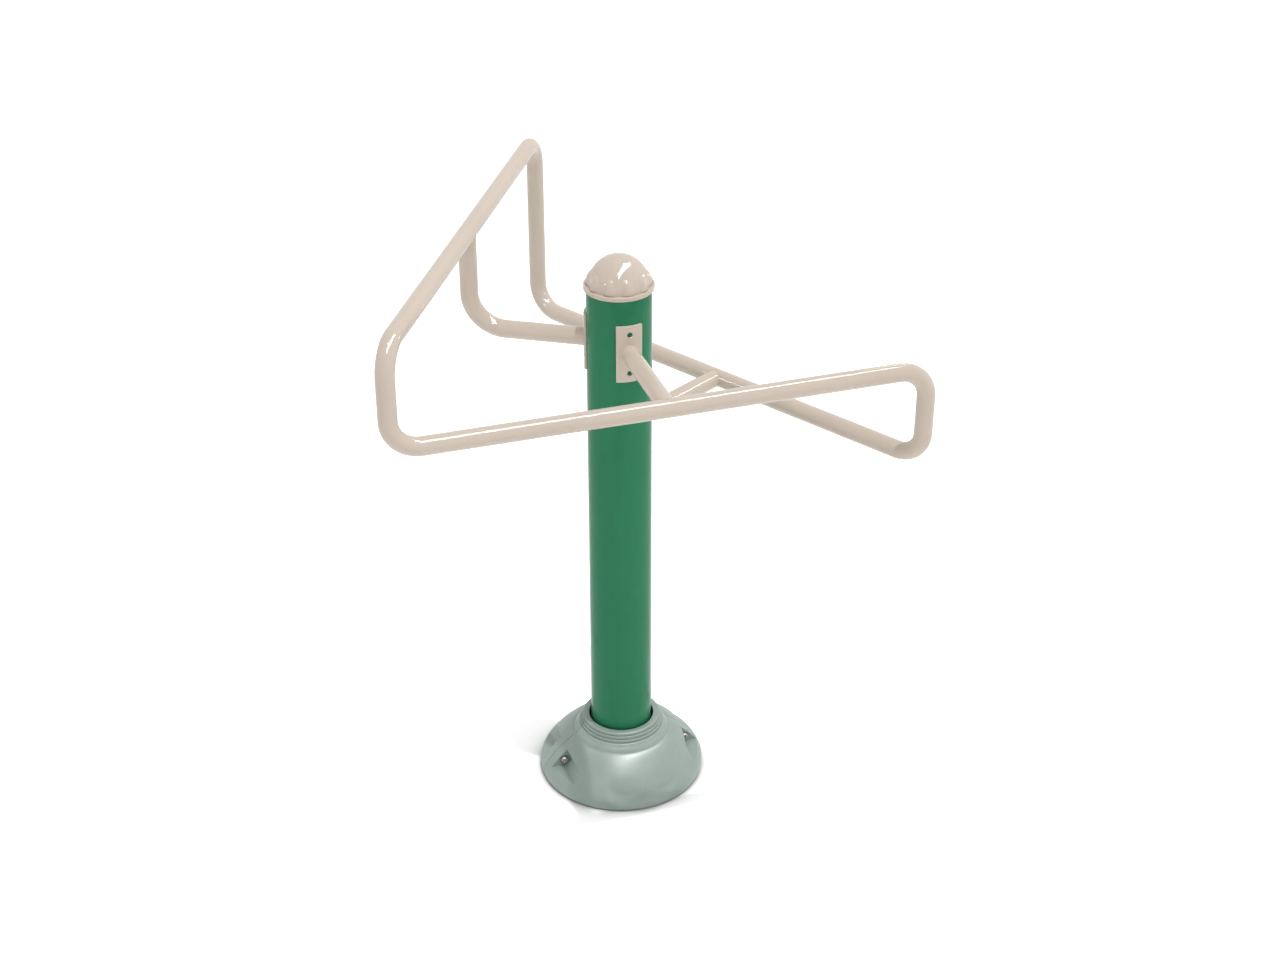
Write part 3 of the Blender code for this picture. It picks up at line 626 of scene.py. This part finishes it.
def grab_loop(sizes):
    """The three bars and their corners as one endless tube, from the middle of the front bar and round."""
    side = 2 * BAR_REACH * math.tan(math.pi / 3)
    corner = sizes.bend_radius
    half = side / 2 - corner
    runs = [arm_frame(ANGLES[name])[1] for name in ("front", "low", "high")]
    levels = [HEIGHTS[name] for name in ("front", "low", "high", "front")]
    moves = [half]
    for i in range(3):
        rise = levels[i + 1] - levels[i]
        moves += [(Z_AXIS if rise > 0 else -Z_AXIS, corner), abs(rise) - 2 * corner,
                  (runs[(i + 1) % 3], corner), 2 * half if i < 2 else half - OVERRUN]
    bm, first, last = bent_bar(polar(BAR_REACH, FRONT_ANGLE, HEIGHTS["front"]), runs[0], moves)
    rims = list(first.edges) + list(last.edges)
    bmesh.ops.delete(bm, geom=[first, last], context="FACES_ONLY")
    bmesh.ops.bridge_loops(bm, edges=rims)
    piece(loose(bm, "grab_loop"), "beige_paint", "front_bar", "high_bar", "low_bar", "corner_front_left",
          "corner_rear", "corner_front_right")


def saddle_arm(name, sizes):
    """Arm from its saddle plate to the middle of its bar, with a fine weld bead at both ends."""
    out, along = arm_frame(ANGLES[name])
    low, high = SADDLES[name], HEIGHTS[name]
    outer = sizes.post_radius + FIT + sizes.plate_thick
    start = out * (outer - sizes.plate_thick * ARM_SINK) + Z_AXIS * low
    run = BAR_REACH - start.xy.length
    bend = sizes.arm_bend_radius
    moves = [run - bend, (Z_AXIS, bend), high - low - bend] if high - low > bend else [run]
    bm, _, _ = bent_bar(start, out, moves)
    radius = BAR_RADIUS
    at_plate, at_bar = [], []
    for k in range(2 * TUBE_SIDES):
        turn = math.tau * k / (2 * TUBE_SIDES)
        across, up = radius * math.cos(turn), radius * math.sin(turn)
        dip = math.sqrt(radius ** 2 - up ** 2)
        at_plate.append(out * math.sqrt(outer ** 2 - across ** 2) + along * across + Z_AXIS * (low + up))
        if len(moves) > 1:
            at_bar.append(out * (BAR_REACH + up) + along * across + Z_AXIS * (high - dip))
        else:
            at_bar.append(out * (BAR_REACH - dip) + along * across + Z_AXIS * (high + up))
    add_bead(bm, at_plate, sizes.weld_radius)
    add_bead(bm, at_bar, sizes.weld_radius * BAR_WELD)
    piece(loose(bm, f"{name}_bent_arm"), "beige_paint", f"{name}_arm")


def saddle_plate(name, sizes):
    """Rounded plate, bent to the post, with two stepped holes."""
    out, _ = arm_frame(ANGLES[name])
    inner = sizes.post_radius + FIT
    outer = inner + sizes.plate_thick
    bm = bmesh.new()
    bmesh.ops.create_cube(bm, size=1)
    bmesh.ops.scale(bm, vec=(sizes.plate_thick, sizes.plate_arc, sizes.plate_height), verts=bm.verts)
    corners = [e for e in bm.edges if abs(e.verts[0].co.x - e.verts[1].co.x) > sizes.plate_thick / 2]
    bmesh.ops.bevel(bm, geom=corners, affect="EDGES", offset=PLATE_CORNER, segments=PLATE_CORNER_STEPS,
                    profile=0.5, material=-1)
    face = max(bm.faces, key=lambda f: f.calc_center_median().x)
    bmesh.ops.bevel(bm, geom=list(face.edges), affect="EDGES", offset=sizes.plate_edge,
                    segments=PLATE_EDGE_STEPS, profile=0.5, material=-1)
    for k in range(1, PLATE_STEPS):
        spot = Y_AXIS * (sizes.plate_arc * (k / PLATE_STEPS - 0.5))
        bmesh.ops.bisect_plane(bm, geom=list(bm.verts) + list(bm.edges) + list(bm.faces), plane_co=spot,
                               plane_no=Y_AXIS)
    for vert in bm.verts:
        radius = inner + sizes.plate_thick / 2 + vert.co.x
        vert.co = polar(radius, ANGLES[name] + vert.co.y / outer, SADDLES[name] + vert.co.z)
    plate = loose(bm, f"{name}_saddle")
    surface = OVERRUN + sizes.plate_thick
    seat = surface - HOLE_SEAT
    hole, wide, edge = SCREW_RADIUS + FIT, sizes.hole_radius, HOLE_EDGE
    step = [(0, 0), (hole, 0), (hole, seat), (wide, seat), (wide, surface - edge),
            (wide + 2 * edge, surface + edge), (wide + 2 * edge, seat + OVERRUN), (0, seat + OVERRUN)]
    cutters = []
    for level in (-0.5, 0.5):
        start = out * (inner - OVERRUN) + Z_AXIS * (SADDLES[name] + level * sizes.hole_pitch)
        cutters.append(loose(turned(step, start, out)))
    piece(boolean(plate, cutters, "DIFFERENCE"), "beige_paint", f"{name}_plate")
    for level, sign in (("lower", -0.5), ("upper", 0.5)):
        plate_screw(f"{name}_socket_screw_{level}", out, SADDLES[name] + sign * sizes.hole_pitch,
                    outer - HOLE_SEAT + FIT, sizes, f"{name}_screw_{level}")


def plate_screw(name, out, height, seat, sizes, node):
    """Round-headed socket screw, set into its plate."""
    head = sizes.hole_radius - SCREW_PLAY
    foot = out * (seat - SCREW_DEPTH) + Z_AXIS * height
    top = SCREW_DEPTH + SCREW_HEAD
    side_ease, brow_ease = SCREW_EASES
    outline = eased([(0, 0, 0), (SCREW_RADIUS, 0, 0), (SCREW_RADIUS, SCREW_DEPTH, 0), (head, SCREW_DEPTH, 0),
                     (head, top - SCREW_HEAD * SCREW_DOME, side_ease), (SCREW_BROW, top, brow_ease),
                     (0, top, 0)])
    screw = loose(turned(outline, foot, out), name)
    socket = loose(prism(hexagon(2 * SCREW_SOCKET), OVERRUN, facing(foot + out * (top - SCREW_HOLLOW), out)))
    piece(boolean(screw, [socket], "DIFFERENCE"), "green_paint", node)


def post_tube(sizes):
    """Post with small rounds at both ends."""
    outside, bore = sizes.post_radius, sizes.post_radius - sizes.post_wall
    low, top, ease = POST_LOW.z, POST_HIGH.z, POST_EASE
    corners = [(bore, low, 0), (outside, low, ease), (outside, top, ease), (bore, top, ease), (bore, low, 0)]
    piece(loose(spun(eased(corners)[:-1], POST_SIDES), "post_column"), "green_paint", "post_tube")


def soft_maximum(first, second, softness):
    """The larger of two numbers, eased over where they are alike."""
    share = min(max(0.5 + 0.5 * (first - second) / softness, 0.0), 1.0)
    return second + (first - second) * share + softness * share * (1 - share)


def lobe_radius(point, count):
    """Distance from the axis to the nearest lobe's outside, in the direction and at the height of a point."""
    pitch = math.tau / count
    turn = (math.atan2(point.y, point.x) - FRONT_ANGLE + pitch / 2) % pitch - pitch / 2
    depth, width, height = LOBE_SIZE
    left = 1 - ((point.z - RIM_LOW - RIM_HEIGHT) / height) ** 2
    along = LOBE_REACH * math.cos(turn) / depth ** 2
    scale = (math.cos(turn) / depth) ** 2 + (math.sin(turn) / width) ** 2
    inside = along ** 2 - scale * (LOBE_REACH ** 2 / depth ** 2 - left)
    return (along + math.copysign(math.sqrt(abs(inside)), inside)) / scale


def post_cap(sizes):
    """Domed cap: soft lobes round the dome, a dark groove, a rounded bead and a plain band."""
    top = RIM_LOW + RIM_HEIGHT
    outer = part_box("post_cap")[1].x
    dome_radius = sizes.post_radius - DOME_SETBACK
    centre = POST_HIGH.z + DOME_LIFT + FIT
    foot = math.degrees(math.asin((top - centre) / DOME_RISE))
    scale = dome_radius / DOME_RISE
    dome = [(x * scale, z + centre) for x, z in arc((0, 0), DOME_RISE, 90, foot, DOME_STEPS)]
    dome[0] = (0, dome[0][1])
    groove = outer - RIM_GROOVE
    inner_fall, outer_fall = RIM_GROOVE_FALLS
    groove_ease, brink_ease = RIM_GROOVE_EASES
    rim = eased([(dome_radius + RIM_LEAN, top - inner_fall, groove_ease),
                 (groove, top - outer_fall, groove_ease), (groove + RIM_LEAN, top, brink_ease)] +
                [(outer - run, top - fall, ease) for run, fall, ease in RIM_CORNERS] +
                [(outer - BAND_INSET, RIM_LOW, BAND_EASE), (outer - BAND_FOOT, RIM_LOW, 0)])
    bore = sizes.post_radius - sizes.post_wall - FIT
    low = RIM_LOW - SPIGOT_LENGTH
    wall = CAP_WALL
    spigot = [(bore, RIM_LOW), (bore, low), (bore - wall, low), (bore - wall, centre)]
    inside = [(x * (scale * DOME_RISE - wall) / DOME_RISE, z * (DOME_RISE - wall) / DOME_RISE + centre)
              for x, z in arc((0, 0), DOME_RISE, 0, 90, DOME_STEPS // 3)]
    inside[-1] = (0, inside[-1][1])
    bm = spun(dome + rim + spigot + inside[1:], CAP_SIDES)
    for vert in bm.verts:
        reach = vert.co.xy.length
        if vert.co.z > top - DOME_MARGIN and reach < dome_radius + DOME_MARGIN:
            level = max((vert.co.z - centre) / DOME_RISE, 0.0)
            outside = dome_radius * math.sqrt(max(1 - level ** 2, 0.0))
            if reach > outside - LOBE_MARGIN and reach > LOBE_START * dome_radius:
                lobe = lobe_radius(vert.co, sizes.lobe_count)
                vert.co.xy *= soft_maximum(reach, lobe, sizes.lobe_blend) / reach
    piece(loose(bm, "domed_cap"), "beige_paint", "post_cap")


def bell_curve(sizes, inset=0.0, points=BELL_STEPS):
    """Bell outline from the crown down to the foot, moved inwards by an inset."""
    crown = Vector((collar_radius(sizes) + (RING_COUNT - 1) * RING_GROWTH + CROWN_RUN, BELL_TOP))
    foot = Vector((sizes.cover_radius, BELL_FOOT))
    handles = (crown, crown + Vector((BELL_PULLS[0], 0)), foot + Vector((0, BELL_PULLS[1])), foot)
    outline = []
    for i in range(points + 1):
        t = i / points
        weights = ((1 - t) ** 3, 3 * t * (1 - t) ** 2, 3 * t * t * (1 - t), t ** 3)
        slopes = (-(1 - t) ** 2, (1 - t) ** 2 - 2 * t * (1 - t), 2 * t * (1 - t) - t * t, t * t)
        point = sum((h * w for h, w in zip(handles, weights)), Vector((0, 0)))
        run = sum((h * s for h, s in zip(handles, slopes)), Vector((0, 0))).normalized()
        outline.append(tuple(point + Vector((run.y, -run.x)) * inset))
    return outline


def collar_radius(sizes):
    """Outside radius of the collar's top ring."""
    return sizes.post_radius + COLLAR_GAP + COLLAR_THICK


def collar_corners(sizes):
    """Corners of the collar, from its bore over the top and down the rings to the edge above the bell."""
    bore = sizes.post_radius + COLLAR_GAP
    corners = [(bore, COVER_TOP - COLLAR_BORE, 0), (bore, COVER_TOP, COLLAR_EASE)]
    first_ease, next_ease, low_ease = RING_EASES
    z = COVER_TOP
    for ring in range(RING_COUNT):
        radius = collar_radius(sizes) + ring * RING_GROWTH
        corners.append((radius, z, next_ease if ring else first_ease))
        z -= RING_HEIGHT
        corners += [(radius, z, low_ease), (radius - GROOVE_DEPTH, z, 0)]
        z -= GROOVE_HEIGHT
        corners.append((radius - GROOVE_DEPTH, z, 0))
    for run, fall in SHOULDER:
        corners.append((radius + run, z - fall, SHOULDER_EASE))
    return corners


def shell_outline(sizes):
    """Section of a shell, and for each point how far it steps in at the seam."""
    bell = bell_curve(sizes)
    collar = eased(collar_corners(sizes) + [(*bell[0], 0)])[:-1]
    inset, rise = FOOT_ROUND
    foot = [(sizes.cover_radius - inset + x, rise + z * (rise - FOOT_SEAT) / inset)
            for x, z in arc((0, 0), inset, 0, -FOOT_TURN, FOOT_STEPS)]
    band = [(sizes.cover_radius, BELL_FOOT + (rise - BELL_FOOT) * k / BAND_STEPS)
            for k in range(1, BAND_STEPS)]
    outer = collar + bell + band + foot
    lip = sizes.seam_chamfer
    marks = []
    neck = COVER_TOP - RING_COUNT * (RING_HEIGHT + GROOVE_HEIGHT)
    for i, (x, z) in enumerate(outer):
        if x < collar_radius(sizes) - CHAMFER_RUN or z < CHAMFER_LOW:
            step = Vector((0, 0, -lip if z > COVER_TOP - lip else 0))
        elif z > neck - NECK_MARGIN:
            ring = min(max(int((COVER_TOP - z) / (RING_HEIGHT + GROOVE_HEIGHT)), 0), RING_COUNT - 1)
            edge = collar_radius(sizes) + ring * RING_GROWTH - lip
            step = Vector((min(edge - x, 0), 0, min(COVER_TOP - lip - z, 0)))
        else:
            before = Vector(outer[max(i - SLOPE_REACH, 0)])
            after = Vector(outer[min(i + SLOPE_REACH, len(outer) - 1)])
            run = (after - before).normalized()
            step = Vector((run.y, 0, -run.x)) * lip
        marks.append(step)
    wall = sizes.cover_radius - inset - COVER_WALL
    inner = [(wall, outer[-1][1]), (wall, BELL_FOOT)]
    inner += list(reversed(bell_curve(sizes, COVER_WALL, BELL_STEPS // 2)))[1:]
    inner.append((sizes.post_radius + COLLAR_GAP, inner[-1][1]))
    return outer + inner, marks + [Vector()] * len(inner)


def scoop(point):
    """Depth of the two scoops low on a shell, at a point of the bell."""
    if not SCOOP_LOW < point.z < SCOOP_TOP:
        return 0.0
    turn = abs(math.atan2(point.x, abs(point.y))) / SCOOP_SPREAD
    if turn > 1:
        return 0.0
    across = 2 * (turn - 0.5)
    floor = SCOOP_LOW + SCOOP_WEB * across ** 2
    rise = min(max((point.z - floor) / SCOOP_LIP, 0.0), 1.0)
    fade = min(max((SCOOP_TOP - point.z) / (SCOOP_TOP - SCOOP_LOW), 0.0), 1.0)
    edge = 1.0 if turn < 0.5 else 1 - across ** SCOOP_END
    return SCOOP_DEPTH * rise * rise * (3 - 2 * rise) * fade * fade * edge


def pocket_section(sizes, side, grow=0.0):
    """Section of a bolt pocket across Y, open towards the outside."""
    outside = sizes.cover_radius + OVERRUN
    low, knee, high = [(sizes.cover_radius - inset - grow, z) for inset, z in POCKET_CORNERS]
    corners = [(outside, low[1] - grow, 0), (low[0], low[1] - grow, POCKET_EASE), (*knee, POCKET_EASE),
               (high[0], high[1] + grow, POCKET_EASE), (outside, high[1] + grow, 0)]
    return [(side * x, z) for x, z in eased(corners)]


def along_y(start):
    """Frame whose X is X, whose Y is Z and whose extrusion runs towards -Y from a start."""
    return Matrix.Translation(Y_AXIS * start) @ Matrix.Rotation(math.pi / 2, 4, "X")


def cover_shell(name, front, sizes):
    """Half cover: a spun shell with scoops and a chamfered seam, and at each side a boss, pocket and hole."""
    outline, marks = shell_outline(sizes)
    bm = spun(outline, SHELL_STEPS, math.pi, math.pi, marks)
    geometry = list(bm.verts) + list(bm.edges) + list(bm.faces)
    bmesh.ops.bisect_plane(bm, geom=geometry, plane_co=-Y_AXIS * sizes.seam_chamfer, plane_no=Y_AXIS,
                           dist=SEAM_CUT)
    layer = bm.verts.layers.float_vector["inward"]
    for vert in bm.verts:
        step = vert[layer]
        reach = vert.co.xy.length
        if abs(vert.co.y) < SEAM_NEAR:
            vert.co += Vector((math.copysign(1, vert.co.x) * step.x, 0, step.z))
        elif reach > 0:
            vert.co.xy *= 1 - scoop(vert.co) / reach
    shell = loose(bm, name)
    for side in (-1, 1):
        boss = loose(prism(pocket_section(sizes, side, COVER_WALL), POCKET_REACH, along_y(-BOSS_BACK)))
        core = [(0, 0), (sizes.cover_radius - COVER_WALL / 2, 0)]
        core += list(reversed(bell_curve(sizes, COVER_WALL / 2, BELL_STEPS // 2))) + [(0, BELL_TOP)]
        boolean(boss, [loose(spun(core, POST_SIDES))], "INTERSECT")
        boolean(shell, [boss], "UNION")
        pocket = loose(prism(pocket_section(sizes, side), POCKET_REACH, along_y(-POCKET_FACE)))
        axis = Vector((side * (sizes.cover_radius - BOLT_INSET), 0, BOLT_HEIGHT))
        seat = axis - Y_AXIS * (POCKET_FACE - SPOT_DEPTH)
        spot = rod(SPOT_RADIUS, seat, seat - Y_AXIS * OVERRUN)
        hole = rod(BOLT_RADIUS + FIT, axis + Y_AXIS * OVERRUN, axis - Y_AXIS * 2 * OVERRUN)
        boolean(shell, [pocket, spot, hole], "DIFFERENCE")
    turn = 0 if front else math.pi
    shell.data.transform(Matrix.Rotation(turn, 4, "Z") @ Matrix.Translation(Y_AXIS * -FIT))
    piece(shell, "cast_grey_green", name)


def cover_fixing(name, side, sizes):
    """Socket-head bolt through both shells, with its washer and nut at the rear."""
    axis = Vector((side * (sizes.cover_radius - BOLT_INSET), 0, BOLT_HEIGHT))
    seat = POCKET_FACE - SPOT_DEPTH + 2 * FIT
    nut_start = seat + WASHER[1] + FIT
    tail = nut_start + NUT[1] + BOLT_TAIL
    shank = seat + tail
    top = shank + BOLT_HEAD[1]
    low_ease, top_ease = BOLT_EASES
    outline = eased([(0, 0, 0), (BOLT_RADIUS - BOLT_POINT, 0, 0), (BOLT_RADIUS, BOLT_POINT, 0),
                     (BOLT_RADIUS, shank, 0), (BOLT_HEAD[0], shank, low_ease), (BOLT_HEAD[0], top, top_ease),
                     (0, top, 0)])
    bolt = loose(turned(outline, axis + Y_AXIS * tail, -Y_AXIS))
    crown = axis - Y_AXIS * (seat + BOLT_HEAD[1])
    socket = loose(prism(hexagon(2 * BOLT_SOCKET[0]), OVERRUN, along_y(crown.y + BOLT_SOCKET[1]) @
                         Matrix.Translation((axis.x, axis.z, 0))))
    piece(boolean(bolt, [socket], "DIFFERENCE"), "zinc_steel", f"cover_bolt_{name}")
    bore = BOLT_RADIUS + FIT
    rim_ease, bore_ease = WASHER_EASES
    section = [(bore, 0, 0), (WASHER[0], 0, rim_ease), (*WASHER, rim_ease), (bore, WASHER[1], bore_ease),
               (bore, 0, 0)]
    ring = loose(turned(eased(section)[:-1], axis + Y_AXIS * seat, Y_AXIS), f"cover_ring_{name}")
    piece(ring, "zinc_steel", f"cover_washer_{name}")
    body = loose(prism(hexagon(NUT[0]), NUT[1], facing(axis + Y_AXIS * nut_start, Y_AXIS)))
    flat, point = NUT[0] / 2, NUT[0] / 2 / math.cos(math.pi / 6) + FIT
    chamfer = (point - flat) * NUT_CHAMFER
    section = [(bore, -MM), (flat, 0), (point, chamfer), (point, NUT[1] - chamfer), (flat, NUT[1]),
               (bore, NUT[1] + MM)]
    round_off = loose(turned(section, axis + Y_AXIS * nut_start, Y_AXIS))
    piece(boolean(body, [round_off], "INTERSECT"), "zinc_steel", f"cover_nut_{name}")


def paint_frame():
    """Finish the frame's own parts that stay: flange, gussets, anchors and inserts."""
    paints = finishes(bpy.context)
    for name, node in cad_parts.items():
        if node.hide_render:
            continue
        paint = paints["green_paint" if name.startswith("gusset") else "zinc_steel"]
        node.data.materials.clear()
        node.data.materials.append(paint)


# Studio: camera, floor and lamps
CAMERA_PLACE = (-0.9811, -3.1325, 2.5216)
CAMERA_TURN = (math.radians(60.05), 0, math.radians(-18.02))
CAMERA_LENS = 59.32
CAMERA_SENSOR = 36
SKY_LEVEL = 0.53
SIDE_LEVEL = (0.42, 0.12)
SIDE_TURNS = (math.radians(-15), math.radians(165))
SIDE_HEIGHT = math.radians(35)
FLOOR_SIZE = 40
FLOOR_SHADE = 1.0
FLOOR_WHITE = 1.42
# Painted contact shadow on the floor: its dark tone, the reach of the occlusion that draws it, the step it
# fades over and its samples
PAINTED_CONTACT_SHADE = 0.4
CONTACT_REACH = 50 * MM
CONTACT_STEP = (0.3, 1.0)
CONTACT_SAMPLES = 12
SUN_LEVEL = 1.1
SUN_ANGLE = math.radians(0.8)
SUN_TURN = math.radians(-44.4)
SUN_HEIGHT = math.radians(80)
PANEL_LEVEL = 36
PANEL_REACH = (0.91, 0.65)
PANEL_RISE = (2.0, 3.84)
PANEL_LENGTH = 3.86

# Strips: level, then each one's place along its tube, its turn, height, distance and extent
STRIP_LEVEL = 32
ARM_STRIP = (0.17, math.radians(-2), math.radians(38), 0.6, (0.28, 0.08))
BAR_STRIP = (0.06, math.radians(170), math.radians(27), 1.0, (0.14, 0.14))


def white_world():
    """White to the eye and in gloss, and a soft light on the object that grows towards two sides."""
    world = bpy.data.worlds.new("studio")
    world.use_nodes = True
    graph = Graph(world.node_tree)
    more = 0.0
    for share, turn in zip(SIDE_LEVEL, SIDE_TURNS):
        towards = polar(math.cos(SIDE_HEIGHT), turn, math.sin(SIDE_HEIGHT))
        place = graph.add("ShaderNodeTexCoord", output="Generated")
        lit = graph.add("ShaderNodeVectorMath", {"operation": "DOT_PRODUCT"}, {0: place, 1: towards}, "Value")
        more = lit.most(0.0) * share + more
    plain, bright, white = [graph.add("ShaderNodeBackground", {}, {"Color": (1, 1, 1, 1), "Strength": level})
                            for level in (SKY_LEVEL, SKY_LEVEL + 1, 1.0)]
    lamp = graph.add("ShaderNodeMixShader", {}, {0: more, 1: plain, 2: bright})
    both = graph.add("ShaderNodeMixShader", {}, {0: graph.seen(), 1: lamp, 2: white})
    graph.add("ShaderNodeOutputWorld", {}, {"Surface": both})
    bpy.context.scene.world = world


def floor_material():
    """Pale floor that keeps the shadows, with a painted contact shadow that darkens it where the part stands
    on it.
    """
    material, graph = new_material("studio floor")
    plain, dark, white = [graph.add("ShaderNodeBsdfDiffuse", {}, {"Color": (tone, tone, tone, 1)})
                          for tone in (FLOOR_SHADE, PAINTED_CONTACT_SHADE, FLOOR_WHITE)]
    # Painted contact shadow: ambient occlusion blends the floor seen by the camera from white to a dark tone
    # near the part
    near = graph.add("ShaderNodeAmbientOcclusion", {"samples": CONTACT_SAMPLES}, {"Distance": CONTACT_REACH},
                     "AO")
    shown = graph.add("ShaderNodeMixShader", {}, {0: near.between(*CONTACT_STEP), 1: dark, 2: white})
    both = graph.add("ShaderNodeMixShader", {}, {0: graph.ray("Camera"), 1: plain, 2: shown})
    graph.add("ShaderNodeOutputMaterial", {}, {"Surface": both})
    return material


def add_lamp(name, kind, place):
    """Lamp of one kind, placed by a matrix."""
    lamp = bpy.data.lights.new(name, kind)
    holder = bpy.data.objects.new(name, lamp)
    holder.matrix_world = place
    bpy.context.scene.collection.objects.link(holder)
    return holder


def add_panel(name, centre, back, across, extent, level):
    """Bright panel that shows in gloss alone."""
    turn = Matrix((across, back.cross(across), back)).transposed().to_4x4()
    panel = add_lamp(name, "AREA", Matrix.Translation(centre) @ turn)
    panel.data.shape = "RECTANGLE"
    panel.data.size, panel.data.size_y = extent
    panel.data.energy = level * math.pi * extent[0] * extent[1]
    panel.visible_diffuse = False
    panel.visible_camera = False


def add_strip(name, seen_in, along, turn, height, distance, extent):
    """Small panel whose glint runs along a tube, at a distance from the place that it is seen in."""
    towards = polar(math.cos(height), turn, math.sin(height))
    back = (towards - along * towards.dot(along)).normalized()
    add_panel(name, seen_in + towards * distance, back, along, extent, STRIP_LEVEL)


def make_stage():
    """Floor, soft light, sun, the bright panels and the camera."""
    scene = bpy.context.scene
    bm = bmesh.new()
    bmesh.ops.create_grid(bm, x_segments=1, y_segments=1, size=FLOOR_SIZE)
    mesh = bpy.data.meshes.new("floor")
    bm.to_mesh(mesh)
    bm.free()
    mesh.materials.append(floor_material())
    floor = bpy.data.objects.new("floor", mesh)
    scene.collection.objects.link(floor)
    white_world()
    towards = polar(math.cos(SUN_HEIGHT), SUN_TURN, math.sin(SUN_HEIGHT))
    sun = add_lamp("sun", "SUN", towards.to_track_quat("Z", "Y").to_matrix().to_4x4())
    sun.data.energy = SUN_LEVEL
    sun.data.angle = SUN_ANGLE
    out, along = arm_frame(SUN_TURN)
    crown = Z_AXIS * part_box("post_cap")[1].z
    foot, head = [crown + out * reach + Z_AXIS * rise for reach, rise in zip(PANEL_REACH, PANEL_RISE)]
    up = (head - foot).normalized()
    extent = (PANEL_LENGTH, (head - foot).length)
    add_panel("panel", (foot + head) / 2, along.cross(up), along, extent, PANEL_LEVEL)
    arm, bar = arm_frame(LOW_ANGLE)
    middle = arm * ARM_STRIP[0] + Z_AXIS * HEIGHTS["low"]
    add_strip("arm strip", middle, arm, *ARM_STRIP[1:])
    beyond = arm * BAR_REACH - bar * BAR_STRIP[0] + Z_AXIS * HEIGHTS["low"]
    add_strip("bar strip", beyond, bar, *BAR_STRIP[1:])
    camera = bpy.data.cameras.new("camera")
    camera.lens = CAMERA_LENS
    camera.sensor_width = CAMERA_SENSOR
    holder = bpy.data.objects.new("camera", camera)
    holder.location = CAMERA_PLACE
    holder.rotation_euler = CAMERA_TURN
    scene.collection.objects.link(holder)
    scene.camera = holder
    scene.view_settings.view_transform = "Standard"


class STRETCHING_POST_OT_column(bpy.types.Operator):
    """Model the post tube"""
    bl_idname = "stretching_post.column"
    bl_label = "Post"

    def execute(self, context):
        post_tube(context.scene.post_sizes)
        return {"FINISHED"}


class STRETCHING_POST_OT_cap(bpy.types.Operator):
    """Model the domed cap with its lobes and rim"""
    bl_idname = "stretching_post.cap"
    bl_label = "Cap"

    def execute(self, context):
        post_cap(context.scene.post_sizes)
        return {"FINISHED"}


class STRETCHING_POST_OT_loop(bpy.types.Operator):
    """Model the endless loop of grab bars"""
    bl_idname = "stretching_post.loop"
    bl_label = "Grab Loop"

    def execute(self, context):
        grab_loop(context.scene.post_sizes)
        return {"FINISHED"}


class STRETCHING_POST_OT_arms(bpy.types.Operator):
    """Model the three arms"""
    bl_idname = "stretching_post.arms"
    bl_label = "Arms"

    def execute(self, context):
        for name in SADDLES:
            saddle_arm(name, context.scene.post_sizes)
        return {"FINISHED"}


class STRETCHING_POST_OT_saddles(bpy.types.Operator):
    """Model the saddle plates and their socket screws"""
    bl_idname = "stretching_post.saddles"
    bl_label = "Saddle Plates"

    def execute(self, context):
        for name in SADDLES:
            saddle_plate(name, context.scene.post_sizes)
        return {"FINISHED"}


class STRETCHING_POST_OT_cover(bpy.types.Operator):
    """Model the two shells of the base cover"""
    bl_idname = "stretching_post.cover"
    bl_label = "Base Cover"

    def execute(self, context):
        cover_shell("cover_front", True, context.scene.post_sizes)
        cover_shell("cover_rear", False, context.scene.post_sizes)
        return {"FINISHED"}


class STRETCHING_POST_OT_fixings(bpy.types.Operator):
    """Model the bolts, washers and nuts of the base cover"""
    bl_idname = "stretching_post.fixings"
    bl_label = "Cover Fixings"

    def execute(self, context):
        cover_fixing("left", -1, context.scene.post_sizes)
        cover_fixing("right", 1, context.scene.post_sizes)
        return {"FINISHED"}


class STRETCHING_POST_OT_hidden_steel(bpy.types.Operator):
    """Finish the flange, gussets, anchors and inserts"""
    bl_idname = "stretching_post.hidden_steel"
    bl_label = "Flange and Anchors"

    def execute(self, context):
        paint_frame()
        return {"FINISHED"}


class STRETCHING_POST_OT_stage(bpy.types.Operator):
    """Set the floor, the lamps and the camera"""
    bl_idname = "stretching_post.stage"
    bl_label = "Studio"

    def execute(self, context):
        make_stage()
        return {"FINISHED"}


OPERATORS = (STRETCHING_POST_OT_column, STRETCHING_POST_OT_cap, STRETCHING_POST_OT_loop,
             STRETCHING_POST_OT_arms, STRETCHING_POST_OT_saddles, STRETCHING_POST_OT_cover,
             STRETCHING_POST_OT_fixings, STRETCHING_POST_OT_hidden_steel, STRETCHING_POST_OT_stage)


class STRETCHING_POST_PT_panel(bpy.types.Panel):
    """Sizes, colours and pieces of the stretching post"""
    bl_label = "Stretching Post"
    bl_space_type = "VIEW_3D"
    bl_region_type = "UI"
    bl_category = "Stretching Post"

    def draw(self, context):
        for group in (context.scene.post_sizes, context.scene.post_finish):
            box = self.layout.box()
            for name in group.bl_rna.properties.keys():
                if name not in ("rna_type", "name"):
                    box.prop(group, name)
        for operator in OPERATORS:
            self.layout.operator(operator.bl_idname)


CLASSES = (PostSizes, PostFinish, *OPERATORS, STRETCHING_POST_PT_panel)


def register():
    for cls in CLASSES:
        bpy.utils.register_class(cls)
    bpy.types.Scene.post_sizes = PointerProperty(type=PostSizes)
    bpy.types.Scene.post_finish = PointerProperty(type=PostFinish)


def unregister():
    del bpy.types.Scene.post_sizes
    del bpy.types.Scene.post_finish
    for cls in reversed(CLASSES):
        bpy.utils.unregister_class(cls)


def main():
    register()
    bpy.ops.stretching_post.column()
    bpy.ops.stretching_post.cap()
    bpy.ops.stretching_post.loop()
    bpy.ops.stretching_post.arms()
    bpy.ops.stretching_post.saddles()
    bpy.ops.stretching_post.cover()
    bpy.ops.stretching_post.fixings()
    bpy.ops.stretching_post.hidden_steel()
    bpy.ops.stretching_post.stage()


if __name__ == "__main__":
    main()
